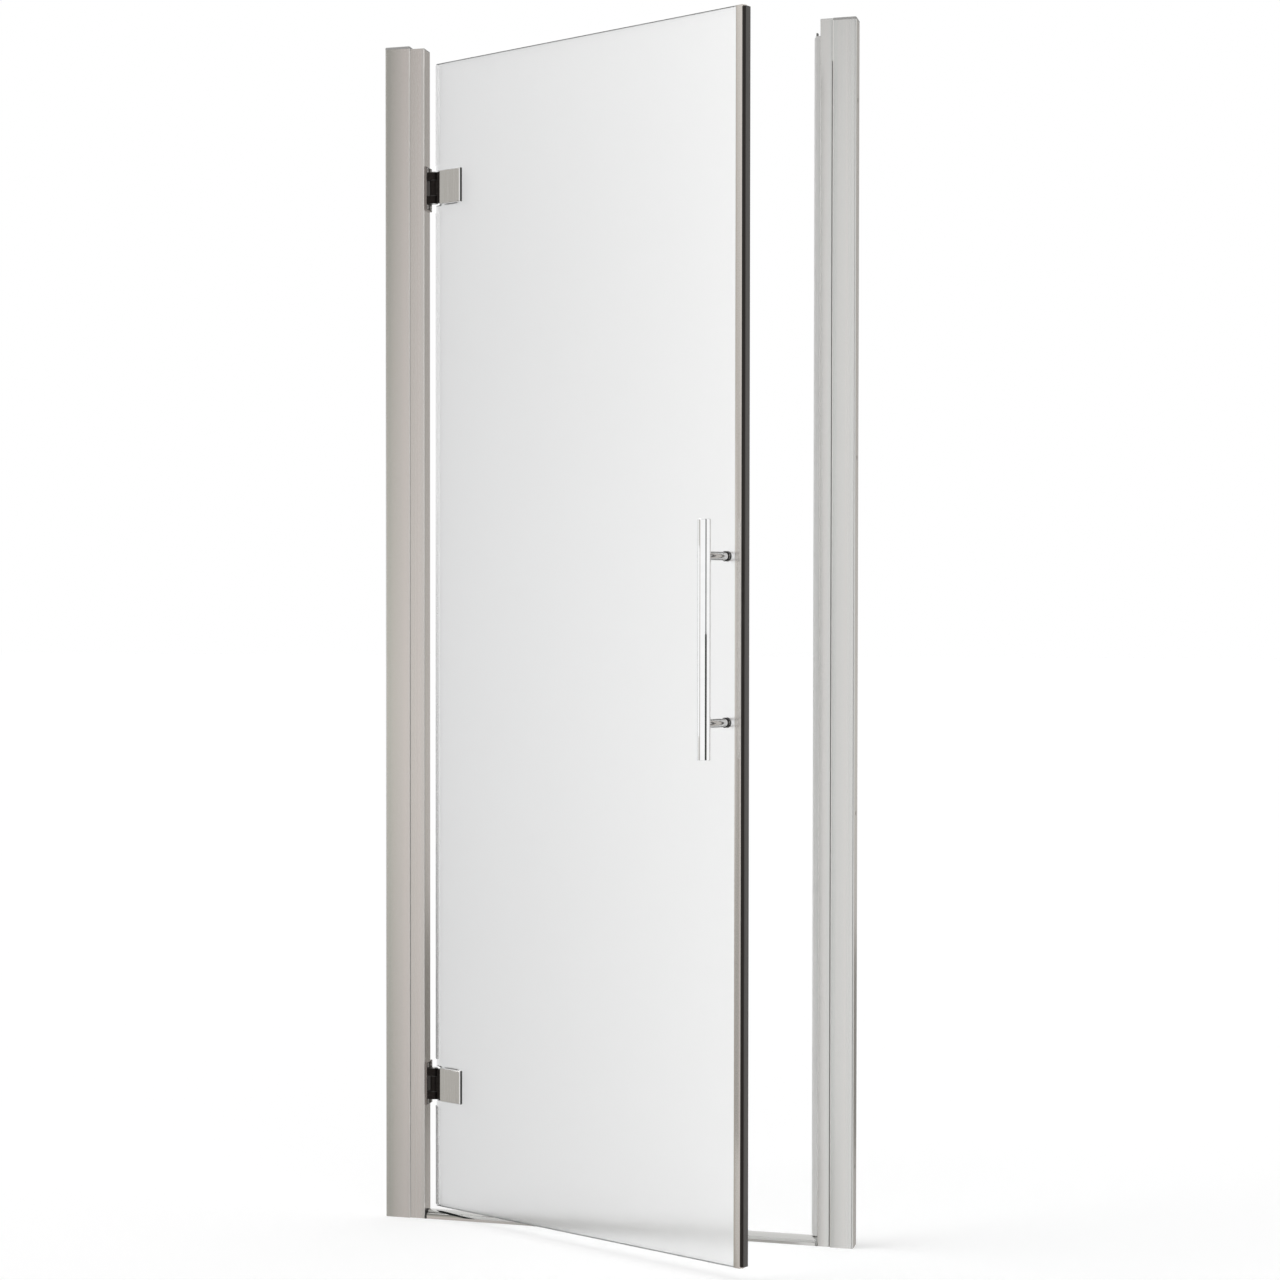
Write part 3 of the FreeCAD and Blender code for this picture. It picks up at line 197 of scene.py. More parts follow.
def flat_board(name, width, height, place, facing, paint):
    """A flat rectangle of the studio, centred on a place and facing a direction."""
    mesh = bpy.data.meshes.new(name)
    corners = [(-width / 2, -height / 2, 0), (width / 2, -height / 2, 0),
               (width / 2, height / 2, 0), (-width / 2, height / 2, 0)]
    mesh.from_pydata(corners, [], [(0, 1, 2, 3)])
    mesh.materials.append(paint)
    turn = Vector(facing).to_track_quat("Z", "Y").to_matrix().to_4x4()
    mesh.transform(Matrix.Translation(place) @ turn)
    board = new_object(name, mesh)
    return board


floor = flat_board("floor", FLOOR_SIZE, FLOOR_SIZE, (0, 0, 0), (0, 0, 1), floor_paint)
floor.visible_glossy = False
print("floor side:", FLOOR_SIZE, "m")

# %% [markdown]
# Polished metal only looks like metal when it has something to mirror. Photographers stand grey and
# black cards round the set for that. These cards show only to light that has met a shiny surface, which
# the Light Path node counts: they give the front faces their soft warm grey and the chrome its dark
# lines, and nobody sees them through the pane. Each is brightest at one height and fades up and down from
# there, as its fade says: that height, a span, and the share of light left at its end. Two small cards
# stand closer in front than the others, where only the trim on the door's free edge mirrors them.
# One soft sun from far to the left models the shapes, and its mirror image misses the domed sill.

# %% Reflection cards
CARD_DISTANCE, FRONT_DISTANCE, TRIM_DISTANCE = 4.2, 0.8, 0.5
NEAR_DISTANCE, DIM_DISTANCE = 1.0, 3.7
KNEE_FADE, WAIST_FADE, DEEP_FADE = (0.6, 1.4, 0.78), (0.8, 1.4, 0.78), (0.8, 1.2, 0.58)
HEAD_FADE = (2.05, 1.4, 0.54)
MIRRORED, THROUGH_GLASS = "glossy", "transmission"


def card_paint(name, colour, fade):
    """A tone that fades up and down from a height, clear for rays that weren't reflected before."""
    bright_height, span, share_left = fade
    material = new_finish(name)
    tree = material.node_tree
    where = add_node(tree, "ShaderNodeTexCoord")
    apart = add_node(tree, "ShaderNodeSeparateXYZ")
    above = add_node(tree, "ShaderNodeMath", {1: bright_height}, operation="SUBTRACT")
    away = add_node(tree, "ShaderNodeMath", operation="ABSOLUTE")
    dim = add_node(tree, "ShaderNodeMapRange", {"From Max": span, "To Min": 1.0, "To Max": share_left})
    tone = add_node(tree, "ShaderNodeEmission", {"Color": (*colour, 1)})
    clear = add_node(tree, "ShaderNodeBsdfTransparent")
    link(tree, (where, "Object", apart, 0), (apart, "Z", above, 0), (above, 0, away, 0),
         (away, 0, dim, "Value"), (dim, 0, tone, "Strength"))
    choose_by_ray(tree, "Glossy Depth", clear, tone)
    return material


def card(name, width, height, middle, facing, colour, rays=(MIRRORED,), fade=KNEE_FADE):
    """A card that shows only to the given kinds of ray."""
    board = flat_board(name, width, height, middle, facing, card_paint(name, colour, fade))
    for ray in ("camera", "diffuse", "glossy", "transmission", "shadow", "volume_scatter"):
        setattr(board, "visible_" + ray, ray in rays)


def front_card(name, start, end, low, high, colour, fade=KNEE_FADE, distance=FRONT_DISTANCE):
    """An upright card close in front of the door, between two places along the opening."""
    middle = ((start + end) / 2, -distance, (low + high) / 2)
    card(name, end - start, high - low, middle, (0, 1, 0), colour, fade=fade)


def round_card(name, start_deg, end_deg, low, high, colour, rays=(MIRRORED,), distance=CARD_DISTANCE):
    """An upright card between two bearings, counted from straight in front towards the right."""
    ends = [Vector((math.sin(math.radians(a)), -math.cos(math.radians(a)), 0)) * distance
            for a in (start_deg, end_deg)]
    middle = (ends[0] + ends[1]) / 2
    facing = -middle
    middle.z = (low + high) / 2
    card(name, (ends[1] - ends[0]).length, high - low, middle, facing, colour, rays)


# %% Cards for the posts, the sill, the trim, the hinges and the handle
front_card("green_grey_card", -1.00, -0.655, -1.0, 3.0, (0.73, 0.715, 0.65), DEEP_FADE)
front_card("pink_beige_card", -0.655, -0.40, -1.0, 3.0, (0.94, 0.87, 0.84), WAIST_FADE)
front_card("sill_card", -0.50, 0.16, -0.6, -0.03, (0.68, 0.67, 0.65))
front_card("trim_card_upper", -0.29, -0.08, 0.10, 2.2, (0.83, 0.82, 0.80), HEAD_FADE, TRIM_DISTANCE)
front_card("trim_card_lower", -0.29, -0.08, -0.10, 0.10, (0.80, 0.79, 0.77), KNEE_FADE, TRIM_DISTANCE)
card("overhead_card", 4.0, 2.8, (0, -2.0, 3.6), (0, 2.0, -3.6), (0.35, 0.34, 0.33))
round_card("grey_card_behind", 140, 184, -3.0, 5.0, (0.66, 0.625, 0.595))
round_card("dim_card_behind", 140, 184, -0.55, 0.05, (0.33, 0.31, 0.285), distance=DIM_DISTANCE)
round_card("clamp_card_upper", -84, -48, 1.5, 4.5, (0.64, 0.62, 0.585))
round_card("clamp_card_lower", -84, -48, -3.0, 0.3, (0.60, 0.58, 0.545))
round_card("black_strip_upper", 35, 54, 0.95, 4.5, (0.22, 0.22, 0.22))
round_card("black_strip_lower", 30, 60, -2.5, 0.95, (0.05, 0.05, 0.05))
round_card("standoff_card_upper", 146, 186, 2.5, 4.6, (0.03, 0.03, 0.03), (THROUGH_GLASS,))
round_card("standoff_card_lower", 146, 186, 0.02, 0.45, (0.03, 0.03, 0.03), (THROUGH_GLASS,),
           NEAR_DISTANCE)
print("cards placed at", CARD_DISTANCE, "m")

# %% Soft sun
SUN_STRENGTH = 1.15
SUN_WIDTH, SUN_TILT, SUN_FROM_LEFT = 45, 48, 72

sun_lamp = bpy.data.lights.new("soft_sun", "SUN")
sun_lamp.energy = SUN_STRENGTH
sun_lamp.angle = math.radians(SUN_WIDTH)
sun = new_object("soft_sun", sun_lamp)
sun.rotation_euler = (math.radians(SUN_TILT), 0, math.radians(-SUN_FROM_LEFT))
print("sun:", SUN_STRENGTH)

# %% [markdown]
# Every finish is a small node tree on the object's own coordinates, so it sticks to its piece when the
# door swings. Four helpers make its parts: a grain, the colours it gives, the change of gloss it gives,
# and the relief it gives. Stretching the grain along one axis turns it into drawn metal. Most finishes
# are one grain between two near tones, so a last helper makes such a finish in one call, and each family
# of finishes has a shorter form of it with its own settings filled in.

# %% Helpers for finishes
EVEN = (1, 1, 1)
GRAIN_ROUGHNESS = 0.55
DARK_STOP, LIGHT_STOP = 0.3, 0.7


def grain(finish, scale, stretch, detail, shift=(0, 0, 0)):
    """Noise on the piece's own coordinates, as a value between 0 and 1."""
    tree = finish.node_tree
    where = add_node(tree, "ShaderNodeTexCoord")
    place = add_node(tree, "ShaderNodeMapping", {"Scale": stretch, "Location": shift})
    noise = add_node(tree, "ShaderNodeTexNoise",
                     {"Scale": scale, "Detail": detail, "Roughness": GRAIN_ROUGHNESS})
    link(tree, (where, "Object", place, "Vector"), (place, "Vector", noise, "Vector"))
    return noise.outputs["Fac"]


def colours(finish, value, stops):
    """Base colour from a value, by stops of (value, colour)."""
    tree = finish.node_tree
    ramp = add_node(tree, "ShaderNodeValToRGB")
    ramp.color_ramp.elements[0].position = stops[0][0]
    ramp.color_ramp.elements[1].position = stops[-1][0]
    for position, _ in stops[1:-1]:
        ramp.color_ramp.elements.new(position)
    for element, (_, colour) in zip(ramp.color_ramp.elements, stops):
        element.color = (*colour, 1)
    tree.links.new(value, ramp.inputs["Fac"])
    link(tree, (ramp, "Color", shader_of(finish), "Base Color"))


def gloss(finish, value, low, high):
    """Roughness between two levels, from a value."""
    tree = finish.node_tree
    tree.links.new(ramp_between(tree, value, low, high), shader_of(finish).inputs["Roughness"])


def relief(finish, value, height, strength):
    """Fine bumps of a given height in metres, from a value."""
    tree = finish.node_tree
    bump = add_node(tree, "ShaderNodeBump", {"Distance": height, "Strength": strength})
    tree.links.new(value, bump.inputs["Height"])
    link(tree, (bump, "Normal", shader_of(finish), "Normal"))


def grained(name, dark, light, rough, scale, stretch=EVEN, detail=4.0, height=0.0, strength=0.5,
            metallic=0.0, shine=0.5):
    """One grain gives two near tones, a change of gloss and, where a height is given, a fine relief."""
    finish = new_finish(name, metallic)
    shader_of(finish).inputs["Specular IOR Level"].default_value = shine
    value = grain(finish, scale, stretch, detail)
    colours(finish, value, [(DARK_STOP, dark), (LIGHT_STOP, light)])
    gloss(finish, value, *rough)
    if height:
        relief(finish, value, height, strength)
    return finish


# %% [markdown]
# The profiles are bright anodised aluminium. The press leaves faint upright lines in the metal, and the
# anodising shifts between a pinkish and a greenish silver from band to band. So the same noise is used
# twice, once broad for the bands and once fine for the lines, both stretched so far that they run through.
# The rounded rims get a painted highlight, a brighter metal colour where the light would glint on them.
# The sill is drawn along the opening and polished, and the door's edge trim lies between the two.

# %% Aluminium
UPRIGHT_DRAW = (1, 1, 0.0003)
LEVEL_DRAW = (0.0003, 1, 1)

anodised = new_finish("bright_anodised_aluminium", metallic=1.0)
bands = grain(anodised, 62, UPRIGHT_DRAW, 2.0, shift=(0.37, 0, 0))
lines = grain(anodised, 320, UPRIGHT_DRAW, 2.0)
colours(anodised, bands, [(0.30, (0.622, 0.629, 0.613)), (0.50, (0.645, 0.642, 0.627)),
                          (0.70, (0.668, 0.651, 0.635))])
gloss(anodised, lines, 0.22, 0.30)
relief(anodised, lines, 2e-5, 0.10)

drawn = partial(grained, stretch=UPRIGHT_DRAW, detail=2.0, metallic=1.0)
# The rim finish is a painted highlight: a brighter metal colour for the glint on rounded rims.
painted_highlight_rim = drawn("bright_drawn_rim", (0.90, 0.88, 0.86), (0.95, 0.93, 0.91), (0.08, 0.14), 320)
polished_sill = drawn("polished_sill_aluminium", (0.55, 0.55, 0.535), (0.61, 0.605, 0.59), (0.05, 0.13),
                      700, stretch=LEVEL_DRAW)
polished_trim = drawn("polished_trim_aluminium", (0.685, 0.655, 0.625), (0.745, 0.710, 0.675),
                      (0.14, 0.24), 800)
print("aluminium finishes made")

# %% [markdown]
# The handle's bar is chrome plated: nearly a mirror, with only a breath of handling marks in the gloss.
# The flat clamp plates are brushed upwards before plating, which makes them a little softer, and their cut
# ends get a painted dark reflection. The leaves on the post are dark chrome. The barrels are painted near
# black, as painted shade for the narrow space between post and glass. Screws, pins and studs are
# stainless steel with a slightly duller face.

# %% Chrome, painted shade and reflection, and steel
BRUSHED_UP = (1, 1, 0.02)
DRAWN_UP = (1, 1, 0.1)

metal = partial(grained, metallic=1.0)
chrome = metal("mirror_chrome", (0.90, 0.905, 0.91), (0.94, 0.942, 0.945), (0.02, 0.06), 55, detail=5.0)
satin_chrome = metal("satin_chrome", (0.62, 0.62, 0.615), (0.70, 0.70, 0.695), (0.10, 0.20), 600)
dark_chrome = metal("dark_chrome", (0.21, 0.195, 0.185), (0.28, 0.262, 0.25), (0.12, 0.24), 600, DRAWN_UP)
# Painted dark reflection for the clamp plates' cut ends.
painted_reflection_end = metal("dark_cut_end", (0.055, 0.055, 0.054), (0.085, 0.085, 0.083), (0.15, 0.30), 900, DRAWN_UP)
brushed_chrome = metal("brushed_chrome", (0.775, 0.77, 0.76), (0.845, 0.84, 0.83), (0.09, 0.19), 850,
                       BRUSHED_UP, detail=3.0, height=1e-5, strength=0.3)
# Painted shade: a near-black colour for the barrels, in the narrow space between post and glass.
painted_barrel_shade = metal("blackened_barrel", (0.009, 0.007, 0.006), (0.024, 0.020, 0.018), (0.28, 0.45), 400,
                  metallic=0.6, shine=0.2)
steel = metal("stainless_steel", (0.56, 0.56, 0.56), (0.68, 0.68, 0.67), (0.22, 0.38), 1500,
              detail=3.0, height=1e-5, strength=0.3)
print("chrome and steel made")

# %% [markdown]
# Soft PVC seals come in three kinds: a clear one on the pane, a grey one on the strike post and a dark
# one that carries the magnet. All are extruded, so they get the same upright lines as the metal, only
# softer. The moulded caps have the fine spark texture of a mould, and the rubber a dull, dusty grain.
# The clear seals are only a millimetre thick, so a low alpha shows them better than a bending of light.
# Their soft fin has a dark grey whose alpha follows the height, so it shows darker towards the bottom.

# %% Seals, plastics and rubber
SOFT_DRAW = (1, 1, 0.01)
CLEAR_ROUGH, CLEAR_GRAIN, PVC_GRAIN = (0.12, 0.28), 300, 350


def clear_finish(name, dark, light, alpha=1.0):
    """A clear seal: faint upright lines in a grey that only shows as much as its alpha."""
    finish = grained(name, dark, light, CLEAR_ROUGH, CLEAR_GRAIN, SOFT_DRAW, detail=2.0)
    shader_of(finish).inputs["Alpha"].default_value = alpha
    return finish


def alpha_by_height_finish(name, dark, light, low, high, alpha_low, alpha_high):
    """A clear seal whose alpha changes between two heights in metres."""
    finish = clear_finish(name, dark, light)
    tree = finish.node_tree
    where = add_node(tree, "ShaderNodeTexCoord")
    apart = add_node(tree, "ShaderNodeSeparateXYZ")
    alpha_ramp = add_node(tree, "ShaderNodeMapRange", {"From Min": low, "From Max": high,
                                                  "To Min": alpha_low, "To Max": alpha_high})
    link(tree, (where, "Object", apart, 0), (apart, "Z", alpha_ramp, "Value"),
         (alpha_ramp, 0, shader_of(finish), "Alpha"))
    return finish


clear_pvc = clear_finish("clear_pvc", (0.62, 0.63, 0.62), (0.74, 0.75, 0.74), alpha=0.02)
# The fin's alpha rises towards the bottom, so it shows darker there.
clouded_pvc = alpha_by_height_finish("clouded_pvc", (0.20, 0.20, 0.195), (0.27, 0.27, 0.26), low=0.30, high=1.20,
                             alpha_low=0.46, alpha_high=0.08)
pvc = partial(grained, scale=PVC_GRAIN, stretch=SOFT_DRAW, height=3e-5)
grey_pvc = pvc("grey_pvc", (0.69, 0.685, 0.675), (0.77, 0.765, 0.755), (0.30, 0.48))
dark_pvc = pvc("dark_pvc", (0.012, 0.009, 0.008), (0.020, 0.016, 0.013), (0.30, 0.46), shine=0.2)
# Painted sheen: a lighter grey for the light on the seal's rounded nose.
painted_sheen_nose = pvc("dark_pvc_nose", (0.085, 0.078, 0.073), (0.115, 0.108, 0.102), (0.30, 0.46), shine=0.3)

moulded = partial(grained, height=2e-5)
ferrite = moulded("magnet_ferrite", (0.13, 0.13, 0.125), (0.19, 0.19, 0.18), (0.5, 0.7), 900)
cap_grey = moulded("moulded_grey", (0.40, 0.395, 0.39), (0.47, 0.465, 0.455), (0.38, 0.52), 1600)
black_plastic = moulded("moulded_black", (0.026, 0.026, 0.026), (0.042, 0.042, 0.042), (0.35, 0.5), 1600)
plug_painted_light = moulded("soap_greyed_plastic", (0.30, 0.30, 0.29), (0.38, 0.38, 0.37), (0.45, 0.6), 1600)
black_rubber = moulded("black_rubber", (0.014, 0.014, 0.014), (0.030, 0.030, 0.030), (0.55, 0.75), 700,
                       height=3e-5)
nylon = moulded("natural_nylon", (0.70, 0.69, 0.65), (0.78, 0.77, 0.73), (0.40, 0.55), 900)
print("soft finishes made")

# %% [markdown]
# Toughened glass is clear with a grey cast that deepens towards the hinges, and a light satin haze that
# softens what stands far behind it. A Mapping node turns the object's coordinates into distances along
# the door, and a ramp sets the cast. A real pane lets lamp light pass, so shadow rays meet a plain
# transparent tint instead. The top and bottom edges are only ground and dull; their near-black grey-green
# is painted shade, for the dark line such an edge shows through the glass.
# The hinge edge is polished, and its low alpha lets the eye straight through to the seal's fin behind it.

# %% Glass
HINGE_AXIS = Vector(frame["joints"][0]["pos_m"])
DOOR_OPEN = math.radians(25)
GLASS_CAST = [(0.0, (0.728, 0.731, 0.733)), (1.0, (0.912, 0.914, 0.912))]
CAST_START, CAST_END = 0.012, 0.600
GLASS_HAZE, GLASS_IOR = 0.28, 1.5
SHADOW_TINT = (0.90, 0.91, 0.91, 1)

clear_glass = new_finish("toughened_glass")
tree = clear_glass.node_tree
shader = shader_of(clear_glass)
where = add_node(tree, "ShaderNodeTexCoord")
swung_shut = add_node(tree, "ShaderNodeMapping", {
    "Rotation": (0, 0, DOOR_OPEN),
    "Location": -(Matrix.Rotation(DOOR_OPEN, 3, "Z") @ Vector((HINGE_AXIS.x, HINGE_AXIS.y, 0)))})
apart = add_node(tree, "ShaderNodeSeparateXYZ")
share = add_node(tree, "ShaderNodeMapRange", {"From Min": CAST_START, "From Max": CAST_END})
link(tree, (where, "Object", swung_shut, "Vector"), (swung_shut, "Vector", apart, "Vector"),
     (apart, "X", share, "Value"))
colours(clear_glass, share.outputs["Result"], GLASS_CAST)
shader.inputs["Roughness"].default_value = GLASS_HAZE
shader.inputs["IOR"].default_value = GLASS_IOR
shader.inputs["Transmission Weight"].default_value = 1.0
for_lamps = add_node(tree, "ShaderNodeBsdfTransparent", {"Color": SHADOW_TINT})
choose_by_ray(tree, "Is Shadow Ray", shader, for_lamps)

# Painted shade: a near-black grey-green for the dark line the ground edges show through the glass.
painted_shade_edge = grained("ground_glass_edge", (0.035, 0.045, 0.043), (0.055, 0.066, 0.063),
                      (0.35, 0.55), 900, height=2e-5, shine=0.2)
polished_edge = clear_finish("polished_glass_edge", (0.50, 0.52, 0.51), (0.60, 0.62, 0.61), alpha=0.08)
print("glass made; hinge axis at", tuple(round(v, 4) for v in HINGE_AXIS))

# %% [markdown]
# Most of this door is extruded: one flat section, pushed out to a length. That is a rule, so a Geometry
# Nodes tree makes it. The section is a loop of points that each carry their own corner radius. The tree
# rounds the corners, fills the loop, pushes it up and closes the foot, and sets smooth shading by angle.

# %% Nodes from a section to a length
CORNER_STEPS = 6
SHARP_ANGLE = math.radians(32)
MERGE_DISTANCE = 1e-6


def new_tree(name, **inputs):
    """A Geometry Nodes tree with named inputs of the given kinds, and one geometry output."""
    tree = bpy.data.node_groups.new(name, "GeometryNodeTree")
    for label, kind in inputs.items():
        tree.interface.new_socket(label.replace("_", " "), in_out="INPUT", socket_type="NodeSocket" + kind)
    tree.interface.new_socket("Result", in_out="OUTPUT", socket_type="NodeSocketGeometry")
    return tree


def extrude_nodes(tree):
    """Nodes from the section to the closed length. Returns the group input and the last node."""
    given = add_node(tree, "NodeGroupInput")
    loop = add_node(tree, "GeometryNodeMeshToCurve")
    corner = add_node(tree, "GeometryNodeInputNamedAttribute", {"Name": "corner"}, data_type="FLOAT")
    rounded = add_node(tree, "GeometryNodeFilletCurve", {"Limit Radius": True}, mode="POLY")
    filled = add_node(tree, "GeometryNodeFillCurve", mode="NGONS")
    tidy = add_node(tree, "GeometryNodeMergeByDistance", {"Distance": MERGE_DISTANCE})
    span = add_node(tree, "ShaderNodeMath", operation="SUBTRACT")
    rise = add_node(tree, "ShaderNodeCombineXYZ")
    lift = add_node(tree, "ShaderNodeCombineXYZ")
    pushed = add_node(tree, "GeometryNodeExtrudeMesh", {"Individual": False}, mode="FACES")
    foot = add_node(tree, "GeometryNodeFlipFaces")
    both = add_node(tree, "GeometryNodeJoinGeometry")
    closed = add_node(tree, "GeometryNodeMergeByDistance", {"Distance": MERGE_DISTANCE})
    placed = add_node(tree, "GeometryNodeTransform")
    link(tree, (given, "Section", loop, "Mesh"), (loop, "Curve", rounded, "Curve"),
         (given, "Corner steps", rounded, "Count"), (corner, "Attribute", rounded, "Radius"),
         (rounded, "Curve", filled, "Curve"), (filled, "Mesh", tidy, "Geometry"),
         (given, "End", span, 0), (given, "Start", span, 1), (span, 0, rise, "Z"),
         (tidy, "Geometry", pushed, "Mesh"), (rise, 0, pushed, "Offset"),
         (tidy, "Geometry", foot, "Mesh"), (pushed, "Mesh", both, 0), (foot, "Mesh", both, 0),
         (both, 0, closed, "Geometry"), (given, "Start", lift, "Z"),
         (closed, "Geometry", placed, "Geometry"), (lift, 0, placed, "Translation"))
    return given, placed


def finish_nodes(tree, given, last):
    """Ends a tree: real geometry, sharp edges by angle, and the finish."""
    real = add_node(tree, "GeometryNodeRealizeInstances")
    angle = add_node(tree, "GeometryNodeInputMeshEdgeAngle")
    soft = add_node(tree, "FunctionNodeCompare", operation="LESS_THAN", data_type="FLOAT")
    soft.inputs["B"].default_value = SHARP_ANGLE
    faces = add_node(tree, "GeometryNodeSetShadeSmooth", domain="FACE")
    edges = add_node(tree, "GeometryNodeSetShadeSmooth", domain="EDGE")
    dressed = add_node(tree, "GeometryNodeSetMaterial")
    out = add_node(tree, "NodeGroupOutput")
    link(tree, (last, 0, real, 0), (real, 0, faces, "Geometry"), (faces, 0, edges, "Geometry"),
         (angle, "Unsigned Angle", soft, "A"), (soft, 0, edges, "Shade Smooth"),
         (edges, 0, dressed, "Geometry"), (given, "Finish", dressed, "Material"), (dressed, 0, out, 0))


extruded_length = new_tree("extruded length", Section="Geometry", Start="Float", End="Float",
                           Corner_steps="Int", Finish="Material")
finish_nodes(extruded_length, *extrude_nodes(extruded_length))
print("tree:", extruded_length.name, len(extruded_length.nodes), "nodes")


# %% Running a tree
def section_mesh(name, loops):
    """A flat section from loops of (x, y, corner radius), in millimetres."""
    points, edges, corners = [], [], []
    for loop in loops:
        first = len(points)
        points += [(x * MM, y * MM, 0) for x, y, _ in loop]
        corners += [radius * MM for _, _, radius in loop]
        edges += [(first + i, first + (i + 1) % len(loop)) for i in range(len(loop))]
    mesh = bpy.data.meshes.new(name)
    mesh.from_pydata(points, edges, [])
    mesh.attributes.new("corner", "FLOAT", "POINT").data.foreach_set("value", corners)
    return mesh


def run_tree(name, mesh, tree, settings):
    """A new object made by a tree, turned into a plain mesh."""
    piece = new_object(name, mesh)
    modifier = piece.modifiers.new("tree", "NODES")
    modifier.node_group = tree
    for item in tree.interface.items_tree:
        if item.in_out == "INPUT" and item.name in settings:
            modifier[item.identifier] = settings[item.name]
    graph = bpy.context.evaluated_depsgraph_get()
    plain = bpy.data.meshes.new_from_object(piece.evaluated_get(graph))
    piece.modifiers.clear()
    piece.data = plain
    plain.name = name
    plain.materials.clear()
    plain.materials.append(settings["Finish"])
    plain.polygons.foreach_set("material_index", [0] * len(plain.polygons))
    return piece


def extruded(name, loops, start, end, finish, place=Matrix.Identity(4)):
    """A length of a section between two distances in millimetres, moved to its place."""
    settings = {"Start": start * MM, "End": end * MM, "Corner steps": CORNER_STEPS, "Finish": finish}
    piece = run_tree(name, section_mesh(name, loops), extruded_length, settings)
    piece.data.transform(place)
    return piece


def second_finish(piece, finish, is_there):
    """Another finish for the faces whose middle, in millimetres, passes a test."""
    piece.data.materials.append(finish)
    for face in piece.data.polygons:
        if is_there(face.center / MM):
            face.material_index = len(piece.data.materials) - 1
    return piece


def fit(piece, body, slot, *stands_for):
    """Hangs a finished piece on its body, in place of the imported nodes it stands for."""
    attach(piece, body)
    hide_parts(*stands_for)
    low, high = (Vector(map(f, zip(*(v.co for v in piece.data.vertices)))) for f in (min, max))
    print(piece.name, len(piece.data.polygons), "faces", [round(v * 1000, 1) for v in (*low, *high)])
    return piece


# %% [markdown]
# The wall profiles are U channels with a rounded back, a guide lip at each mouth and a drilling groove.
# One section drawn by distance from the wall serves both sides, mirrored. Four holes for the wall screws
# repeat at even heights, so a second tree puts cutters on points and takes them out of the length.

# %% Tree for a drilled length
CUTTER_SIDES, CUTTER_DEPTH = 40, 0.02

drilled_length = new_tree("drilled length", Section="Geometry", Start="Float", End="Float",
                          Corner_steps="Int", Hole_radius="Float", Hole_x="Float", First_hole="Float",
                          Hole_spacing="Float", Hole_count="Int", Finish="Material")
given, placed = extrude_nodes(drilled_length)
first = add_node(drilled_length, "ShaderNodeCombineXYZ")
step = add_node(drilled_length, "ShaderNodeCombineXYZ")
row = add_node(drilled_length, "GeometryNodeMeshLine")
cutter = add_node(drilled_length, "GeometryNodeMeshCylinder",
                  {"Vertices": CUTTER_SIDES, "Depth": CUTTER_DEPTH})
level = add_node(drilled_length, "GeometryNodeTransform", {"Rotation": (0, math.radians(90), 0)})
cutters = add_node(drilled_length, "GeometryNodeInstanceOnPoints")
solid_cutters = add_node(drilled_length, "GeometryNodeRealizeInstances")
drilled = add_node(drilled_length, "GeometryNodeMeshBoolean", operation="DIFFERENCE", solver="EXACT")
link(drilled_length, (given, "Hole x", first, "X"), (given, "First hole", first, "Z"),
     (given, "Hole spacing", step, "Z"), (first, 0, row, "Start Location"), (step, 0, row, "Offset"),
     (given, "Hole count", row, "Count"), (given, "Hole radius", cutter, "Radius"),
     (cutter, "Mesh", level, "Geometry"), (row, 0, cutters, "Points"), (level, 0, cutters, "Instance"),
     (cutters, 0, solid_cutters, 0), (placed, 0, drilled, "Mesh 1"), (solid_cutters, 0, drilled, "Mesh 2"))
finish_nodes(drilled_length, given, drilled)
print("tree:", drilled_length.name, len(drilled_length.nodes), "nodes")

# %% Wall profiles
HALF_OPENING = cad_high.x * 1000
PROFILE_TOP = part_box("wall_profile_left")[1].z * 1000
HALF_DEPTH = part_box("wall_profile_left")[1].y * 1000
REACH = {"left": 42.0, "right": 36.0}
SIDE = {"left": -1, "right": 1}
FLANGE, WEB = 1.8, 2.2
LIP_LENGTH, LIP_RISE = 4.0, 0.5
DRILL_GROOVE, DRILL_DEPTH = 3.0, 0.6
BACK_CORNER, TIP_ROUND, BREAK_EDGE = 3.0, 0.8, 0.25
CRISP, FILLET = 0.1, 0.4
WALL_HOLES, WALL_HOLE, FIRST_HOLE = 4, 3.0, 125.0


def from_wall(side, loop):
    """Section points given by distance from the wall, on the left or the right side."""
    return [(SIDE[side] * (HALF_OPENING - reach), y, corner) for reach, y, corner in loop]


def both_halves(half, middle=()):
    """A loop from one half, in order, the points between the halves, and the mirror of the half."""
    return [*half, *middle, *((x, -y, corner) for x, y, corner in reversed(half))]


def wall_section(reach):
    """The U channel, from its outer half and the mirror of it."""
    inner = HALF_DEPTH - FLANGE
    lip = inner - LIP_RISE
    lip_start = reach - LIP_LENGTH
    half = [(0, -HALF_DEPTH, BACK_CORNER), (reach, -HALF_DEPTH, TIP_ROUND), (reach, -lip, BREAK_EDGE),
            (lip_start, -lip, BREAK_EDGE), (lip_start, -inner, CRISP), (WEB, -inner, FILLET),
            (WEB, -DRILL_GROOVE / 2, CRISP)]
    return both_halves(half, [(WEB - DRILL_DEPTH, 0, CRISP)])


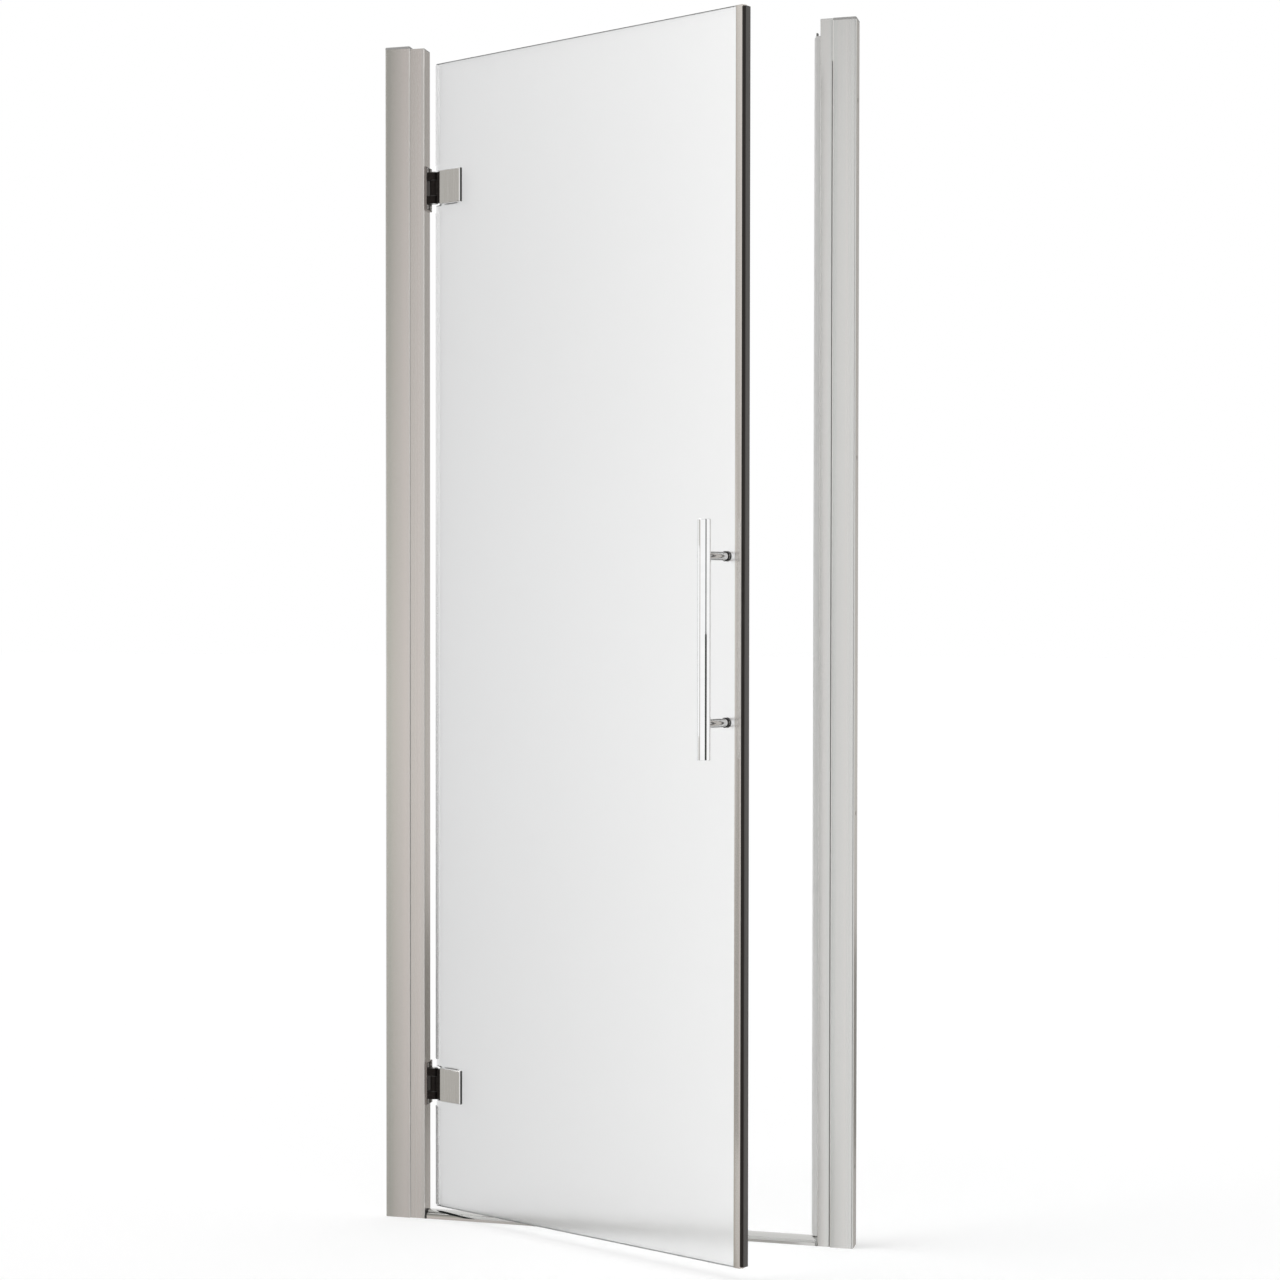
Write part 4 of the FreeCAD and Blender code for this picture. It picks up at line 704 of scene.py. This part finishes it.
for side in ("left", "right"):
    name = f"wall_profile_{side}"
    settings = {
        "Start": 0.0, "End": PROFILE_TOP * MM, "Corner steps": CORNER_STEPS, "Finish": anodised,
        "Hole radius": WALL_HOLE * MM, "Hole x": SIDE[side] * (HALF_OPENING - WEB / 2) * MM,
        "First hole": FIRST_HOLE * MM, "Hole count": WALL_HOLES,
        "Hole spacing": (cad_high.z * 1000 - 2 * FIRST_HOLE) / (WALL_HOLES - 1) * MM}
    section = section_mesh(name, [from_wall(side, wall_section(REACH[side]))])
    profile = run_tree(f"{name}_dressed", section, drilled_length, settings)
    # The flange tips get the rim's painted highlight.
    second_finish(profile, painted_highlight_rim, lambda at: HALF_OPENING - abs(at.x) > REACH[side] - TIP_ROUND
                  and at.y < LIP_RISE + FLANGE - HALF_DEPTH)
    fit(profile, "frame", "aluminium_profile", name)

# %% [markdown]
# Each post slides in its wall profile and is open at the back. The hinge post has a second chamber for
# the nut plates. The strike post has a T slot for its seal, and a fine groove where it leaves the wall
# profile: little light gets into it, and its faces get a darker grey as painted shade, so it draws a thin
# line down the front. The plain extruding tree makes both posts.

# %% Section of a post
POST_HALF, POST_WALL, POST_RETURN = 15.4, 2.2, 7.0
POST_ENGAGE, POST_CORNER = 24.0, 1.0
SHOWS = {"left": 24.0, "right": 20.0}


def post_section(joint, reach, chamber_end, front, face):
    """One loop round a C section, with extra points in its front and in its face towards the opening."""
    back = joint - POST_ENGAGE
    inside = POST_HALF - POST_WALL
    mouth = POST_HALF - POST_RETURN
    chamber = back + POST_WALL
    loop = [(back, -POST_HALF, BREAK_EDGE)] + front + [(reach, -POST_HALF, POST_CORNER)] + face
    loop += [(reach, POST_HALF, POST_CORNER), (back, POST_HALF, BREAK_EDGE), (back, mouth, BREAK_EDGE),
             (chamber, mouth, CRISP), (chamber, inside, FILLET), (chamber_end, inside, FILLET),
             (chamber_end, -inside, FILLET), (chamber, -inside, FILLET), (chamber, -mouth, CRISP),
             (back, -mouth, BREAK_EDGE)]
    return loop


# %% Hinge post
NUT_WALL, NUT_CHAMBER, NUT_RIB = 3.0, 5.2, 1.6

reach = REACH["left"] + SHOWS["left"]
inside = POST_HALF - POST_WALL
nut_end = reach - NUT_WALL
nut_start = nut_end - NUT_CHAMBER
nut_loop = both_halves([(nut_start, -inside, FILLET), (nut_end, -inside, FILLET)])
loops = [from_wall("left", post_section(REACH["left"], reach, nut_start - NUT_RIB, [], [])),
         from_wall("left", nut_loop)]
post_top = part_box("hinge_post")[1].z * 1000
hinge_post = extruded("hinge_post_dressed", loops, 0, post_top, anodised)
# The post's front corner gets the rim's painted highlight.
second_finish(hinge_post, painted_highlight_rim, lambda at: HALF_OPENING + at.x > reach - POST_CORNER
              and at.y < POST_CORNER - POST_HALF)
fit(hinge_post, "frame", "aluminium_profile", "hinge_post")

# %% Strike post
SLOT_MOUTH, SLOT_WIDTH, SLOT_LIP, SLOT_POCKET, SLOT_EDGE = 3.0, 7.0, 1.5, 2.0, 0.15
JOINT_GROOVE, JOINT_DEPTH = 2.0, 1.0
MARGIN = 0.1

# Painted shade for the groove: a darker grey than the metal round it.
shaded_groove = grained("shaded_groove", (0.34, 0.34, 0.33), (0.42, 0.42, 0.41), (0.5, 0.7), 700,
                        height=2e-5)

joint = REACH["right"]
groove_end = joint + JOINT_GROOVE
groove_back = -POST_HALF + JOINT_DEPTH
groove = [(joint, -POST_HALF, CRISP), (joint, groove_back, CRISP), (groove_end, groove_back, CRISP),
          (groove_end, -POST_HALF, BREAK_EDGE)]
reach = joint + SHOWS["right"]
neck = reach - SLOT_LIP
pocket = neck - SLOT_POCKET
slot_face = both_halves([(reach, -SLOT_MOUTH / 2, SLOT_EDGE), (neck, -SLOT_MOUTH / 2, CRISP),
                         (neck, -SLOT_WIDTH / 2, CRISP), (pocket, -SLOT_WIDTH / 2, CRISP)])
loops = [from_wall("right", post_section(joint, reach, pocket - POST_WALL, groove, slot_face))]
strike_post = extruded("strike_post_dressed", loops, 0, PROFILE_TOP, anodised)
# The groove's faces get the painted shade.
second_finish(strike_post, shaded_groove,
              lambda at: -MARGIN < HALF_OPENING - joint - at.x < JOINT_GROOVE + MARGIN
              and -POST_HALF < at.y < groove_back + MARGIN)
fit(strike_post, "frame", "aluminium_profile", "strike_post")

# %% [markdown]
# The sill is a hollow aluminium bar with a domed top that sheds water. Its section is an arc on two short
# sides. It lies along the opening, so the same tree makes it upright and a matrix lays it down: what was
# the section's width becomes the depth, its height stays up, and the length runs from post to post.

# %% Sill
SILL_DEPTH, SILL_HEIGHT, SILL_SIDE, SILL_WALL = 32.0, 13.0, 4.5, 1.6
SILL_FOOT, BORE_FOOT = 0.4, 0.3
DOME_STEPS = 36
LAID_DOWN = Matrix(((0, 0, 1, 0), (1, 0, 0, 0), (0, 1, 0, 0), (0, 0, 0, 1)))


def sill_loop(inset, foot_corner):
    """The domed section, drawn in by an inset: its foot, and the arc through the crown."""
    half = SILL_DEPTH / 2 - inset
    rise = SILL_HEIGHT - inset - SILL_SIDE
    radius = (half ** 2 + rise ** 2) / (2 * rise)
    swing = math.asin(half / radius)
    dome = []
    for step in range(DOME_STEPS + 1):
        angle = swing * (1 - 2 * step / DOME_STEPS)
        dome.append((radius * math.sin(angle), SILL_SIDE + rise - radius + radius * math.cos(angle), 0))
    return [(-half, inset, foot_corner), (half, inset, foot_corner)] + dome


low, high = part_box("sill_bar")
sill = extruded("sill_bar_dressed", [sill_loop(0, SILL_FOOT), sill_loop(SILL_WALL, BORE_FOOT)],
                low.x * 1000, high.x * 1000, polished_sill, LAID_DOWN)
fit(sill, "frame", "aluminium_sill", "sill_bar")

# %% [markdown]
# The strike seal is a soft grey strip with a T foot in the post's slot, a pocket for its magnet and a thin
# fin that stops the door. Soft PVC never leaves the die with a sharp corner, so every point gets a radius.

# %% Strike seal
nose, face = 317.0, 326.0
strike_loop = [(nose, -6, 1.0), (face, -6, 0.4), (face, -1.4, 0.2), (327.6, -1.4, 0.1),
               (327.6, -3.4, 0.3), (329.4, -3.4, 0.4), (329.4, 3.4, 0.4), (327.6, 3.4, 0.3),
               (327.6, 1.4, 0.1), (face, 1.4, 0.2), (face, 8.1, 0.5), (313.5, 8.1, 0.6),
               (313.5, 6.6, 0.6), (322, 6.6, 0.2), (322, 6, 0.1), (nose, 6, 1.0)]
pocket_loop = both_halves([(318, -4.1, 0.2), (320.5, -4.1, 0.2)])
low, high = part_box("strike_seal")
fit(extruded("strike_seal_dressed", [strike_loop, pocket_loop], low.z * 1000, high.z * 1000, grey_pvc),
    "frame", "grey_seal", "strike_seal")

# %% [markdown]
# The pieces of the door are drawn as if it were shut, by their distance from the hinge axis, and one
# matrix swings them open. The bright trim grips the free edge of the glass and carries a T rib, and the
# dark magnetic seal slides onto that rib. Its nose is a lighter grey, a painted sheen where the rounded
# nose catches the light.

# %% Edge trim and door seal
DOOR = Matrix.Translation((HINGE_AXIS.x, HINGE_AXIS.y, 0)) @ Matrix.Rotation(-DOOR_OPEN, 4, "Z")
TO_DOOR = DOOR.inverted()
GLASS_MIDDLE, HALF_GLASS = 7.0, 4.0
NOSE_START = 617.5


def on_glass(loop):
    """Section points given by distance along the door and distance from the middle of the glass."""
    return [(x, GLASS_MIDDLE + y, corner) for x, y, corner in loop]


def along_door(at):
    """Distance of a point from the hinge axis along the door, all in millimetres."""
    return (TO_DOOR @ (at * MM)).x / MM


trim_loop = both_halves([(609.5, -4.1, 0.1), (599.0, -4.1, 0.4), (599.0, -5.3, 0.5), (611.0, -5.3, 0.6),
                         (611.0, -0.8, 0.1), (612.4, -0.8, 0.1), (612.4, -2.2, 0.2), (613.4, -2.2, 0.2)])
low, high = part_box("edge_trim")
trim = extruded("edge_trim_dressed", [on_glass(trim_loop)], low.z * 1000, high.z * 1000,
                polished_trim, DOOR)
fit(trim, "door", "aluminium_trim", "edge_trim")

seal_loop = both_halves([(613.5, -2.3, 0.2), (612.3, -2.3, 0.2), (612.3, -0.9, 0.1), (611.0, -0.9, 0.2),
                         (611.0, -6.0, 0.5), (618.0, -6.0, 1.2)])
magnet_loop = both_halves([(614.5, -4.1, 0.2), (617.0, -4.1, 0.2)])
low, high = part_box("door_seal")
door_seal = extruded("door_seal_dressed", [on_glass(seal_loop), on_glass(magnet_loop)],
                     low.z * 1000, high.z * 1000, dark_pvc, DOOR)
# The nose gets the painted sheen.
second_finish(door_seal, painted_sheen_nose, lambda at: along_door(at) > NOSE_START)
fit(door_seal, "door", "dark_seal", "door_seal")

# %% [markdown]
# Clear seals clip on two more edges. The hinge edge has three lengths with a fin towards the post, broken
# at the hinges. The bottom edge has a bulb over the sill and a fin that throws the drips back inside. The
# first is made as three runs of the tree, joined, and the second is laid down like the sill.

# %% Clear seals
SEAL_RUNS = [(20.0, 182.0), (258.0, 1633.0), (1709.0, 1871.0)]
DRIP_RUN = (10.1, 598.9)
FIN_END = 0.5


def joined(name, pieces):
    """Several new pieces as one."""
    whole = bmesh.new()
    for piece in pieces:
        whole.from_mesh(piece.data)
    mesh = pieces[0].data
    whole.to_mesh(mesh)
    whole.free()
    for piece in pieces[1:]:
        bpy.data.objects.remove(piece)
    pieces[0].name = mesh.name = name
    return pieces[0]


clip_loop = [(1, -5, 0.5), (10, -5, 0.3), (10, -4, 0.3), (2, -4, 0.1), (2, 4, 0.1), (10, 4, 0.3),
             (10, 5, 0.3), (1, 5, 0.3), (1, 4, 0.1), (-7.5, 5, 0.5), (-7.5, 3.8, 0.5), (1, 2.8, 0.2)]
runs = [extruded(f"hinge_edge_seal_{number}", [on_glass(clip_loop)], low, high, clear_pvc, DOOR)
        for number, (low, high) in enumerate(SEAL_RUNS)]
seals = joined("hinge_edge_seals_dressed", runs)
second_finish(seals, clouded_pvc, lambda at: along_door(at) < FIN_END)
fit(seals, "door", "clear_seal", "hinge_edge_seals")

drip_loop = [(-5, 26, 0.3), (-5, 19, 0.4), (-2, 19, 0.2), (-2, 14, 1.9), (2, 14, 1.9), (2, 19, 0.2),
             (5, 19, 0.2), (9, 14, 0.5), (9, 15.2, 0.5), (5, 20.2, 0.2), (5, 26, 0.3), (4, 26, 0.3),
             (4, 20, 0.1), (-4, 20, 0.1), (-4, 26, 0.3)]
drip_loop = [(GLASS_MIDDLE + y, z, corner) for y, z, corner in drip_loop]
fit(extruded("drip_seal_dressed", [drip_loop], *DRIP_RUN, clear_pvc, DOOR @ LAID_DOWN),
    "door", "clear_seal", "drip_seal")

# %% [markdown]
# The pane is cut from 8 mm glass with a rounded notch at each hinge and holes for the clamps and the
# handle, all before it is toughened, and its edges are ground with a narrow arris. The tree makes the
# flat cut from an outline and six circles. Then a one-step bevel grinds the rims. The faces that look up
# or down get the dull ground-edge finish with its painted shade, and those towards the post the polished
# one.

# %% Glass pane
PANE_LOW, PANE_HIGH = 20.0, 1871.0
PANE_START, PANE_END = 2.0, 609.5
HINGE_HEIGHTS = (220.0, 1671.0)
NOTCH_END, NOTCH_HALF, NOTCH_CORNER = 11.5, 28.0, 4.75
PANE_CORNER, NOTCH_EDGE = 1.0, 0.5
CLAMP_SCREW_X, CLAMP_SCREW_RISES, CLAMP_HOLE = 29.0, (-14.0, 14.0), 7.0
HANDLE_X, HANDLE_HEIGHTS, HANDLE_HOLE = 581.0, (823.0, 1068.0), 6.0
STOOD_UP = Matrix.Rotation(math.radians(90), 4, "X")


def circle(x, z, radius, steps=48):
    """A hole's loop."""
    turns = [2 * math.pi * step / steps for step in range(steps)]
    return [(x + radius * math.cos(turn), z + radius * math.sin(turn), 0) for turn in turns]


outline = [(PANE_START, PANE_LOW, PANE_CORNER), (PANE_END, PANE_LOW, PANE_CORNER),
           (PANE_END, PANE_HIGH, PANE_CORNER), (PANE_START, PANE_HIGH, PANE_CORNER)]
for height in reversed(HINGE_HEIGHTS):
    above, below = height + NOTCH_HALF, height - NOTCH_HALF
    outline += [(PANE_START, above, NOTCH_EDGE), (NOTCH_END, above, NOTCH_CORNER),
                (NOTCH_END, below, NOTCH_CORNER), (PANE_START, below, NOTCH_EDGE)]
holes = [circle(CLAMP_SCREW_X, height + rise, CLAMP_HOLE)
         for height in HINGE_HEIGHTS for rise in CLAMP_SCREW_RISES]
holes += [circle(HANDLE_X, height, HANDLE_HOLE) for height in HANDLE_HEIGHTS]
pane = extruded("glass_pane_dressed", [outline] + holes, -(GLASS_MIDDLE + HALF_GLASS),
                -(GLASS_MIDDLE - HALF_GLASS), clear_glass, DOOR @ STOOD_UP)

# %% Ground edges of the pane
ARRIS, RIM_ANGLE = 0.6, math.radians(60)
FACE_ON, EDGE_ON, FLAT = 0.9, 0.5, 0.98
EDGE_SHADE_SLOT, POLISHED_SLOT = 1, 2

to_free_edge, across = (DOOR.to_3x3() @ Vector(axis) for axis in ((1, 0, 0), (0, 1, 0)))
cut = bmesh.new()
cut.from_mesh(pane.data)
rims = [edge for edge in cut.edges if edge.calc_face_angle(0) > RIM_ANGLE
        and any(abs(face.normal.dot(across)) > FACE_ON for face in edge.link_faces)]
bmesh.ops.bevel(cut, geom=rims, offset=ARRIS * MM, segments=1, affect="EDGES", clamp_overlap=True)
for face in cut.faces:
    if abs(face.normal.z) > EDGE_ON:
        face.material_index = EDGE_SHADE_SLOT
    elif face.normal.dot(to_free_edge) < -EDGE_ON:
        face.material_index = POLISHED_SLOT
    face.smooth = abs(face.normal.dot(across)) < FLAT
for edge in cut.edges:
    edge.smooth = edge.calc_face_angle(0) < SHARP_ANGLE
cut.to_mesh(pane.data)
cut.free()
# The edges that look up or down get the painted shade.
pane.data.materials.append(painted_shade_edge)
pane.data.materials.append(polished_edge)
fit(pane, "door", "glass", "glass_panel")

# %% [markdown]
# The hinge plates come from the imported model, whose small pieces are already finely divided. Their loose
# triangles are merged, coplanar ones are dissolved into whole faces, and edges stay sharp by angle, so a
# flat plate mirrors as one flat plate. The barrel and the neck beside it are picked out for the near-black
# painted shade.

# %% Hinge plates
PACKED_MERGE, COPLANAR = 2e-6, math.radians(0.5)
LEAF_FACE = -312.05
PLATE_START, PLATE_END = 14.95, 58.8


def merged_copy(name, finish):
    """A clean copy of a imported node."""
    work = bmesh.new()
    work.from_mesh(cad_nodes[name].data)
    bmesh.ops.remove_doubles(work, verts=work.verts, dist=PACKED_MERGE)
    bmesh.ops.dissolve_limit(work, angle_limit=COPLANAR, verts=work.verts, edges=work.edges)
    for face in work.faces:
        face.smooth = True
    for edge in work.edges:
        edge.smooth = edge.calc_face_angle(0) < SHARP_ANGLE
    mesh = bpy.data.meshes.new(f"{name}_dressed")
    work.to_mesh(mesh)
    work.free()
    mesh.materials.append(finish)
    return new_object(mesh.name, mesh)


for name in ("upper", "lower"):
    leaf = merged_copy(f"{name}_hinge_leaf", dark_chrome)
    # The leaf's barrel side gets the painted shade.
    second_finish(leaf, painted_barrel_shade, lambda at: at.x > LEAF_FACE)
    fit(leaf, "frame", "chrome", f"{name}_hinge_leaf")
    clamp = merged_copy(f"{name}_hinge_clamp_front", brushed_chrome)
    # The clamp's barrel and neck get the painted shade.
    second_finish(clamp, painted_barrel_shade, lambda at: along_door(at) < PLATE_START)
    # The cut end gets the painted dark reflection.
    second_finish(clamp, painted_reflection_end, lambda at: along_door(at) > PLATE_END)
    fit(clamp, "door", "chrome", f"{name}_hinge_clamp_front")
    back = merged_copy(f"{name}_hinge_clamp_back", brushed_chrome)
    fit(back, "door", "chrome", f"{name}_hinge_clamp_back")

# %% [markdown]
# Screws, covers, washers and cap nuts are turned pieces that repeat. Each is turned as rings of points
# round an axis, and a third tree stands it on every place that needs one. A hexagon socket is only a
# ring whose radius follows a hexagon, so the same turning helper makes it.

# %% Turning helper and the repeating tree
TURN_STEPS = 72


def ring_radius(radius, sides, angle):
    """Distance from the axis at an angle: a circle, or a polygon by its corner radius."""
    if not sides:
        return radius
    wedge = math.pi / sides
    return radius * math.cos(wedge) / math.cos((angle % (2 * wedge)) - wedge)


def turned(name, profile, closed_loop=False):
    """A piece turned about Z, from (radius, height, sides) in millimetres; ends on the axis close it."""
    mesh = bpy.data.meshes.new(name)
    work = bmesh.new()
    rings = []
    for radius, height, sides in profile:
        count = TURN_STEPS if radius else 1
        ring = []
        for step in range(count):
            angle = 2 * math.pi * step / TURN_STEPS
            out = ring_radius(radius, sides, angle)
            point = Vector((out * math.cos(angle), out * math.sin(angle), height)) * MM
            ring.append(work.verts.new(point))
        rings.append(ring)
    following = rings[1:] + (rings[:1] if closed_loop else [])
    for lower, upper in zip(rings, following):
        for step in range(TURN_STEPS):
            after = (step + 1) % TURN_STEPS
            corners = [lower[step % len(lower)], lower[after % len(lower)],
                       upper[after % len(upper)], upper[step % len(upper)]]
            work.faces.new(list(dict.fromkeys(corners)))
    bmesh.ops.recalc_face_normals(work, faces=work.faces)
    work.to_mesh(mesh)
    work.free()
    return mesh


def rounded_end(radius, end, corner, steps=6):
    """Points of a rounded rim that closes a turned piece at one end."""
    arc = []
    for step in range(steps + 1):
        angle = math.pi / 2 * step / steps
        arc.append((radius - corner * (1 - math.cos(angle)), end - corner * (1 - math.sin(angle)), 0))
    return arc


repeated_piece = new_tree("one piece at many places", Places="Geometry", Piece="Object", Finish="Material")
given = add_node(repeated_piece, "NodeGroupInput")
shape = add_node(repeated_piece, "GeometryNodeObjectInfo")
stood = add_node(repeated_piece, "GeometryNodeInstanceOnPoints")
link(repeated_piece, (given, "Piece", shape, "Object"), (given, "Places", stood, "Points"),
     (shape, "Geometry", stood, "Instance"))
finish_nodes(repeated_piece, given, stood)


def repeated(name, shape_mesh, turn, places, finish):
    """A turned shape, tilted by a matrix and stood on places given in metres."""
    shape_mesh.transform(turn)
    pattern = new_object(f"{name}_pattern", shape_mesh)
    points = bpy.data.meshes.new(name)
    points.from_pydata([tuple(place) for place in places], [], [])
    piece = run_tree(name, points, repeated_piece, {"Piece": pattern, "Finish": finish})
    bpy.data.objects.remove(pattern)
    return piece


print("tree:", repeated_piece.name, len(repeated_piece.nodes), "nodes")

# %% [markdown]
# Three screws on each side lock a post in its wall profile, and each head has a snap cover on the inside
# of the shower. The hinge leaves have four countersunk screws each and the clamps two, all with hexagon
# sockets, driven until the heads lie flush.

# %% Covers and hinge screws
COVER_HEIGHTS = (200.0, 950.0, 1700.0)
COVER_RADIUS, COVER_RISE, COVER_ROUND, COVER_BORE, BORE_DEPTH = 5.4, 4.0, 1.6, 4.0, 2.6
SOCKET, SOCKET_DEPTH, HEXAGON, HEAD_BREAK = 2.0, 2.0, 6, 0.12
LEAF_HEAD, LEAF_SHANK = 3.9, 2.0
LEAF_SCREW_YS, LEAF_SCREW_RISES = (-9.0, 9.0), (-29.5, 29.5)
CLAMP_HEAD, CLAMP_SHANK, CLAMP_LENGTH, CLAMP_SEAT = 6.0, 3.0, 19.0, 17.0
INTO_SHOWER = Matrix.Rotation(math.radians(-90), 4, "X")
OUT_OF_POST = Matrix.Rotation(math.radians(90), 4, "Y")
INWARDS = DOOR.to_3x3().to_4x4() @ INTO_SHOWER


def on_door(x, y, z):
    """A place on the door, given in millimetres along the shut door, into the shower and up."""
    return DOOR @ Vector((x * MM, y * MM, z * MM))


def countersunk(name, head, shank, length):
    """A screw whose flat head lies at 0, with a hexagon socket and the shank below."""
    socket = min(SOCKET, head / 2)
    return turned(name, [(0, -SOCKET_DEPTH, 0), (socket, -SOCKET_DEPTH, HEXAGON), (socket, 0, HEXAGON),
                         (head - HEAD_BREAK, 0, 0), (head, -HEAD_BREAK, 0), (shank, shank - head, 0),
                         (shank, -length, 0), (0, -length, 0)])


cover = [(0, COVER_RISE, 0)] + list(reversed(rounded_end(COVER_RADIUS, COVER_RISE, COVER_ROUND)))
cover += [(COVER_RADIUS, 0.0, 0), (COVER_BORE, 0.0, 0), (COVER_BORE, BORE_DEPTH, 0), (0, BORE_DEPTH, 0)]
places = []
for side in ("left", "right"):
    low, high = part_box(f"screw_covers_{side}")
    places += [((low.x + high.x) / 2, low.y, height * MM) for height in COVER_HEIGHTS]
fit(repeated("screw_covers_dressed", turned("cover", cover), INTO_SHOWER, places, cap_grey),
    "frame", "grey_cap", "screw_covers_left", "screw_covers_right")

low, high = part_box("upper_hinge_leaf_screws")
leaf_screw = countersunk("leaf_screw", LEAF_HEAD, LEAF_SHANK, (high.x - low.x) * 1000)
places = [(high.x, y * MM, (height + rise) * MM)
          for height in HINGE_HEIGHTS for y in LEAF_SCREW_YS for rise in LEAF_SCREW_RISES]
fit(repeated("leaf_screws_dressed", leaf_screw, OUT_OF_POST, places, steel),
    "frame", "steel", "upper_hinge_leaf_screws", "lower_hinge_leaf_screws")

clamp_screw = countersunk("clamp_screw", CLAMP_HEAD, CLAMP_SHANK, CLAMP_LENGTH)
places = [on_door(CLAMP_SCREW_X, CLAMP_SEAT, height + rise)
          for height in HINGE_HEIGHTS for rise in CLAMP_SCREW_RISES]
fit(repeated("clamp_screws_dressed", clamp_screw, INWARDS, places, steel),
    "door", "steel", "upper_hinge_clamp_screws", "lower_hinge_clamp_screws")

# %% [markdown]
# The handle is a chrome bar with rounded ends, on two short posts that are saddled to it. Soft washers keep
# them off the glass, and round cap nuts hold them from inside. The bar is turned with many steps, because
# a mirror shows every flat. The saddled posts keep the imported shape, merged.

# %% Handle
BAR_RADIUS, BAR_LENGTH, BAR_ROUND, BAR_OUT = 10.0, 352.0, 1.2, -49.0
BAR_MIDDLE = sum(HANDLE_HEIGHTS) / 2
WASHER_SEATS = {"outer": 1.8, "inner": 11.0}
WASHER = [(7.3, 0, 0), (7.6, 0.3, 0), (7.6, 0.9, 0), (7.3, 1.2, 0), (3.3, 1.2, 0), (3.3, 0, 0)]
NUT_RADIUS, NUT_HEIGHT, NUT_ROUND, NUT_BREAK = 7.0, 18.0, 2.0, 0.3
NUT_BORE, NUT_DEPTH, NUT_SEAT = 3.0, 14.0, 12.2

half = BAR_LENGTH / 2
profile = [(0, half, 0)] + list(reversed(rounded_end(BAR_RADIUS, half, BAR_ROUND)))
profile += [(radius, -height, sides) for radius, height, sides in reversed(profile)]
bar_mesh = turned("handle_bar", profile)
bar_place = on_door(HANDLE_X, BAR_OUT, BAR_MIDDLE)
fit(repeated("handle_bar_dressed", bar_mesh, Matrix.Identity(4), [bar_place], chrome),
    "door", "chrome", "handle_bar")
fit(merged_copy("handle_standoffs", satin_chrome), "door", "chrome", "handle_standoffs")


def at_handle(y):
    """The two handle places on the door, at a distance into the shower."""
    return [on_door(HANDLE_X, y, height) for height in HANDLE_HEIGHTS]


for side, y in WASHER_SEATS.items():
    ring = turned(f"washer_{side}", WASHER, closed_loop=True)
    fit(repeated(f"handle_washers_{side}_dressed", ring, INWARDS, at_handle(y), black_rubber),
        "door", "black_rubber", f"handle_washers_{side}")

nut = [(0, NUT_DEPTH, 0), (NUT_BORE, NUT_DEPTH, 0), (NUT_BORE, 0, 0), (NUT_RADIUS - NUT_BREAK, 0, 0),
       (NUT_RADIUS, NUT_BREAK, 0)]
nut += rounded_end(NUT_RADIUS, NUT_HEIGHT, NUT_ROUND) + [(0, NUT_HEIGHT, 0)]
fit(repeated("handle_cap_nuts_dressed", turned("cap_nut", nut), INWARDS, at_handle(NUT_SEAT), chrome),
    "door", "chrome", "handle_cap_nuts")

# %% [markdown]
# The moulded caps close the tops of the posts and the ends of the sill. They keep the imported shape too,
# merged, so that the chamfered rims catch the light as one clean line. A tongue that hangs in front of a
# post is finished like the post. The sill's plugs are black, but the one at the strike end gets a lighter
# grey as painted light, for the light that falls on that end.

# %% Caps
CAP_TONGUE_BACK = -14.0
for name in ("wall_cap_left", "hinge_post_cap", "post_cap_right"):
    cap = merged_copy(name, cap_grey)
    second_finish(cap, anodised, lambda at: at.z < PROFILE_TOP - MARGIN and at.y < CAP_TONGUE_BACK)
    fit(cap, "frame", "grey_cap", name)
# The plug at the strike end gets a lighter grey as painted light.
for name, finish in (("sill_end_cap_left", black_plastic), ("sill_end_cap_right", plug_painted_light)):
    fit(merged_copy(name, finish), "frame", "black_plastic", name)

# %% [markdown]
# What is left stays as packed: pins, nut plates, bushes, sleeves, pads, magnets and studs are simple
# turned or cut pieces, mostly inside others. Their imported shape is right, so they only get a finish.

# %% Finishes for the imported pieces
left_as_packed = {
    "lock_screws": steel, "nut_plate": steel, "hinge_pin": steel, "studs": steel, "bushes": black_plastic,
    "sleeves": nylon, "gaskets": black_rubber, "magnet": ferrite}
dressed_nodes = 0
for name, node in cad_nodes.items():
    for part, finish in left_as_packed.items():
        if part in name:
            node.data.materials.clear()
            node.data.materials.append(finish)
            dressed_nodes += 1
print("packed pieces with a finish:", dressed_nodes)
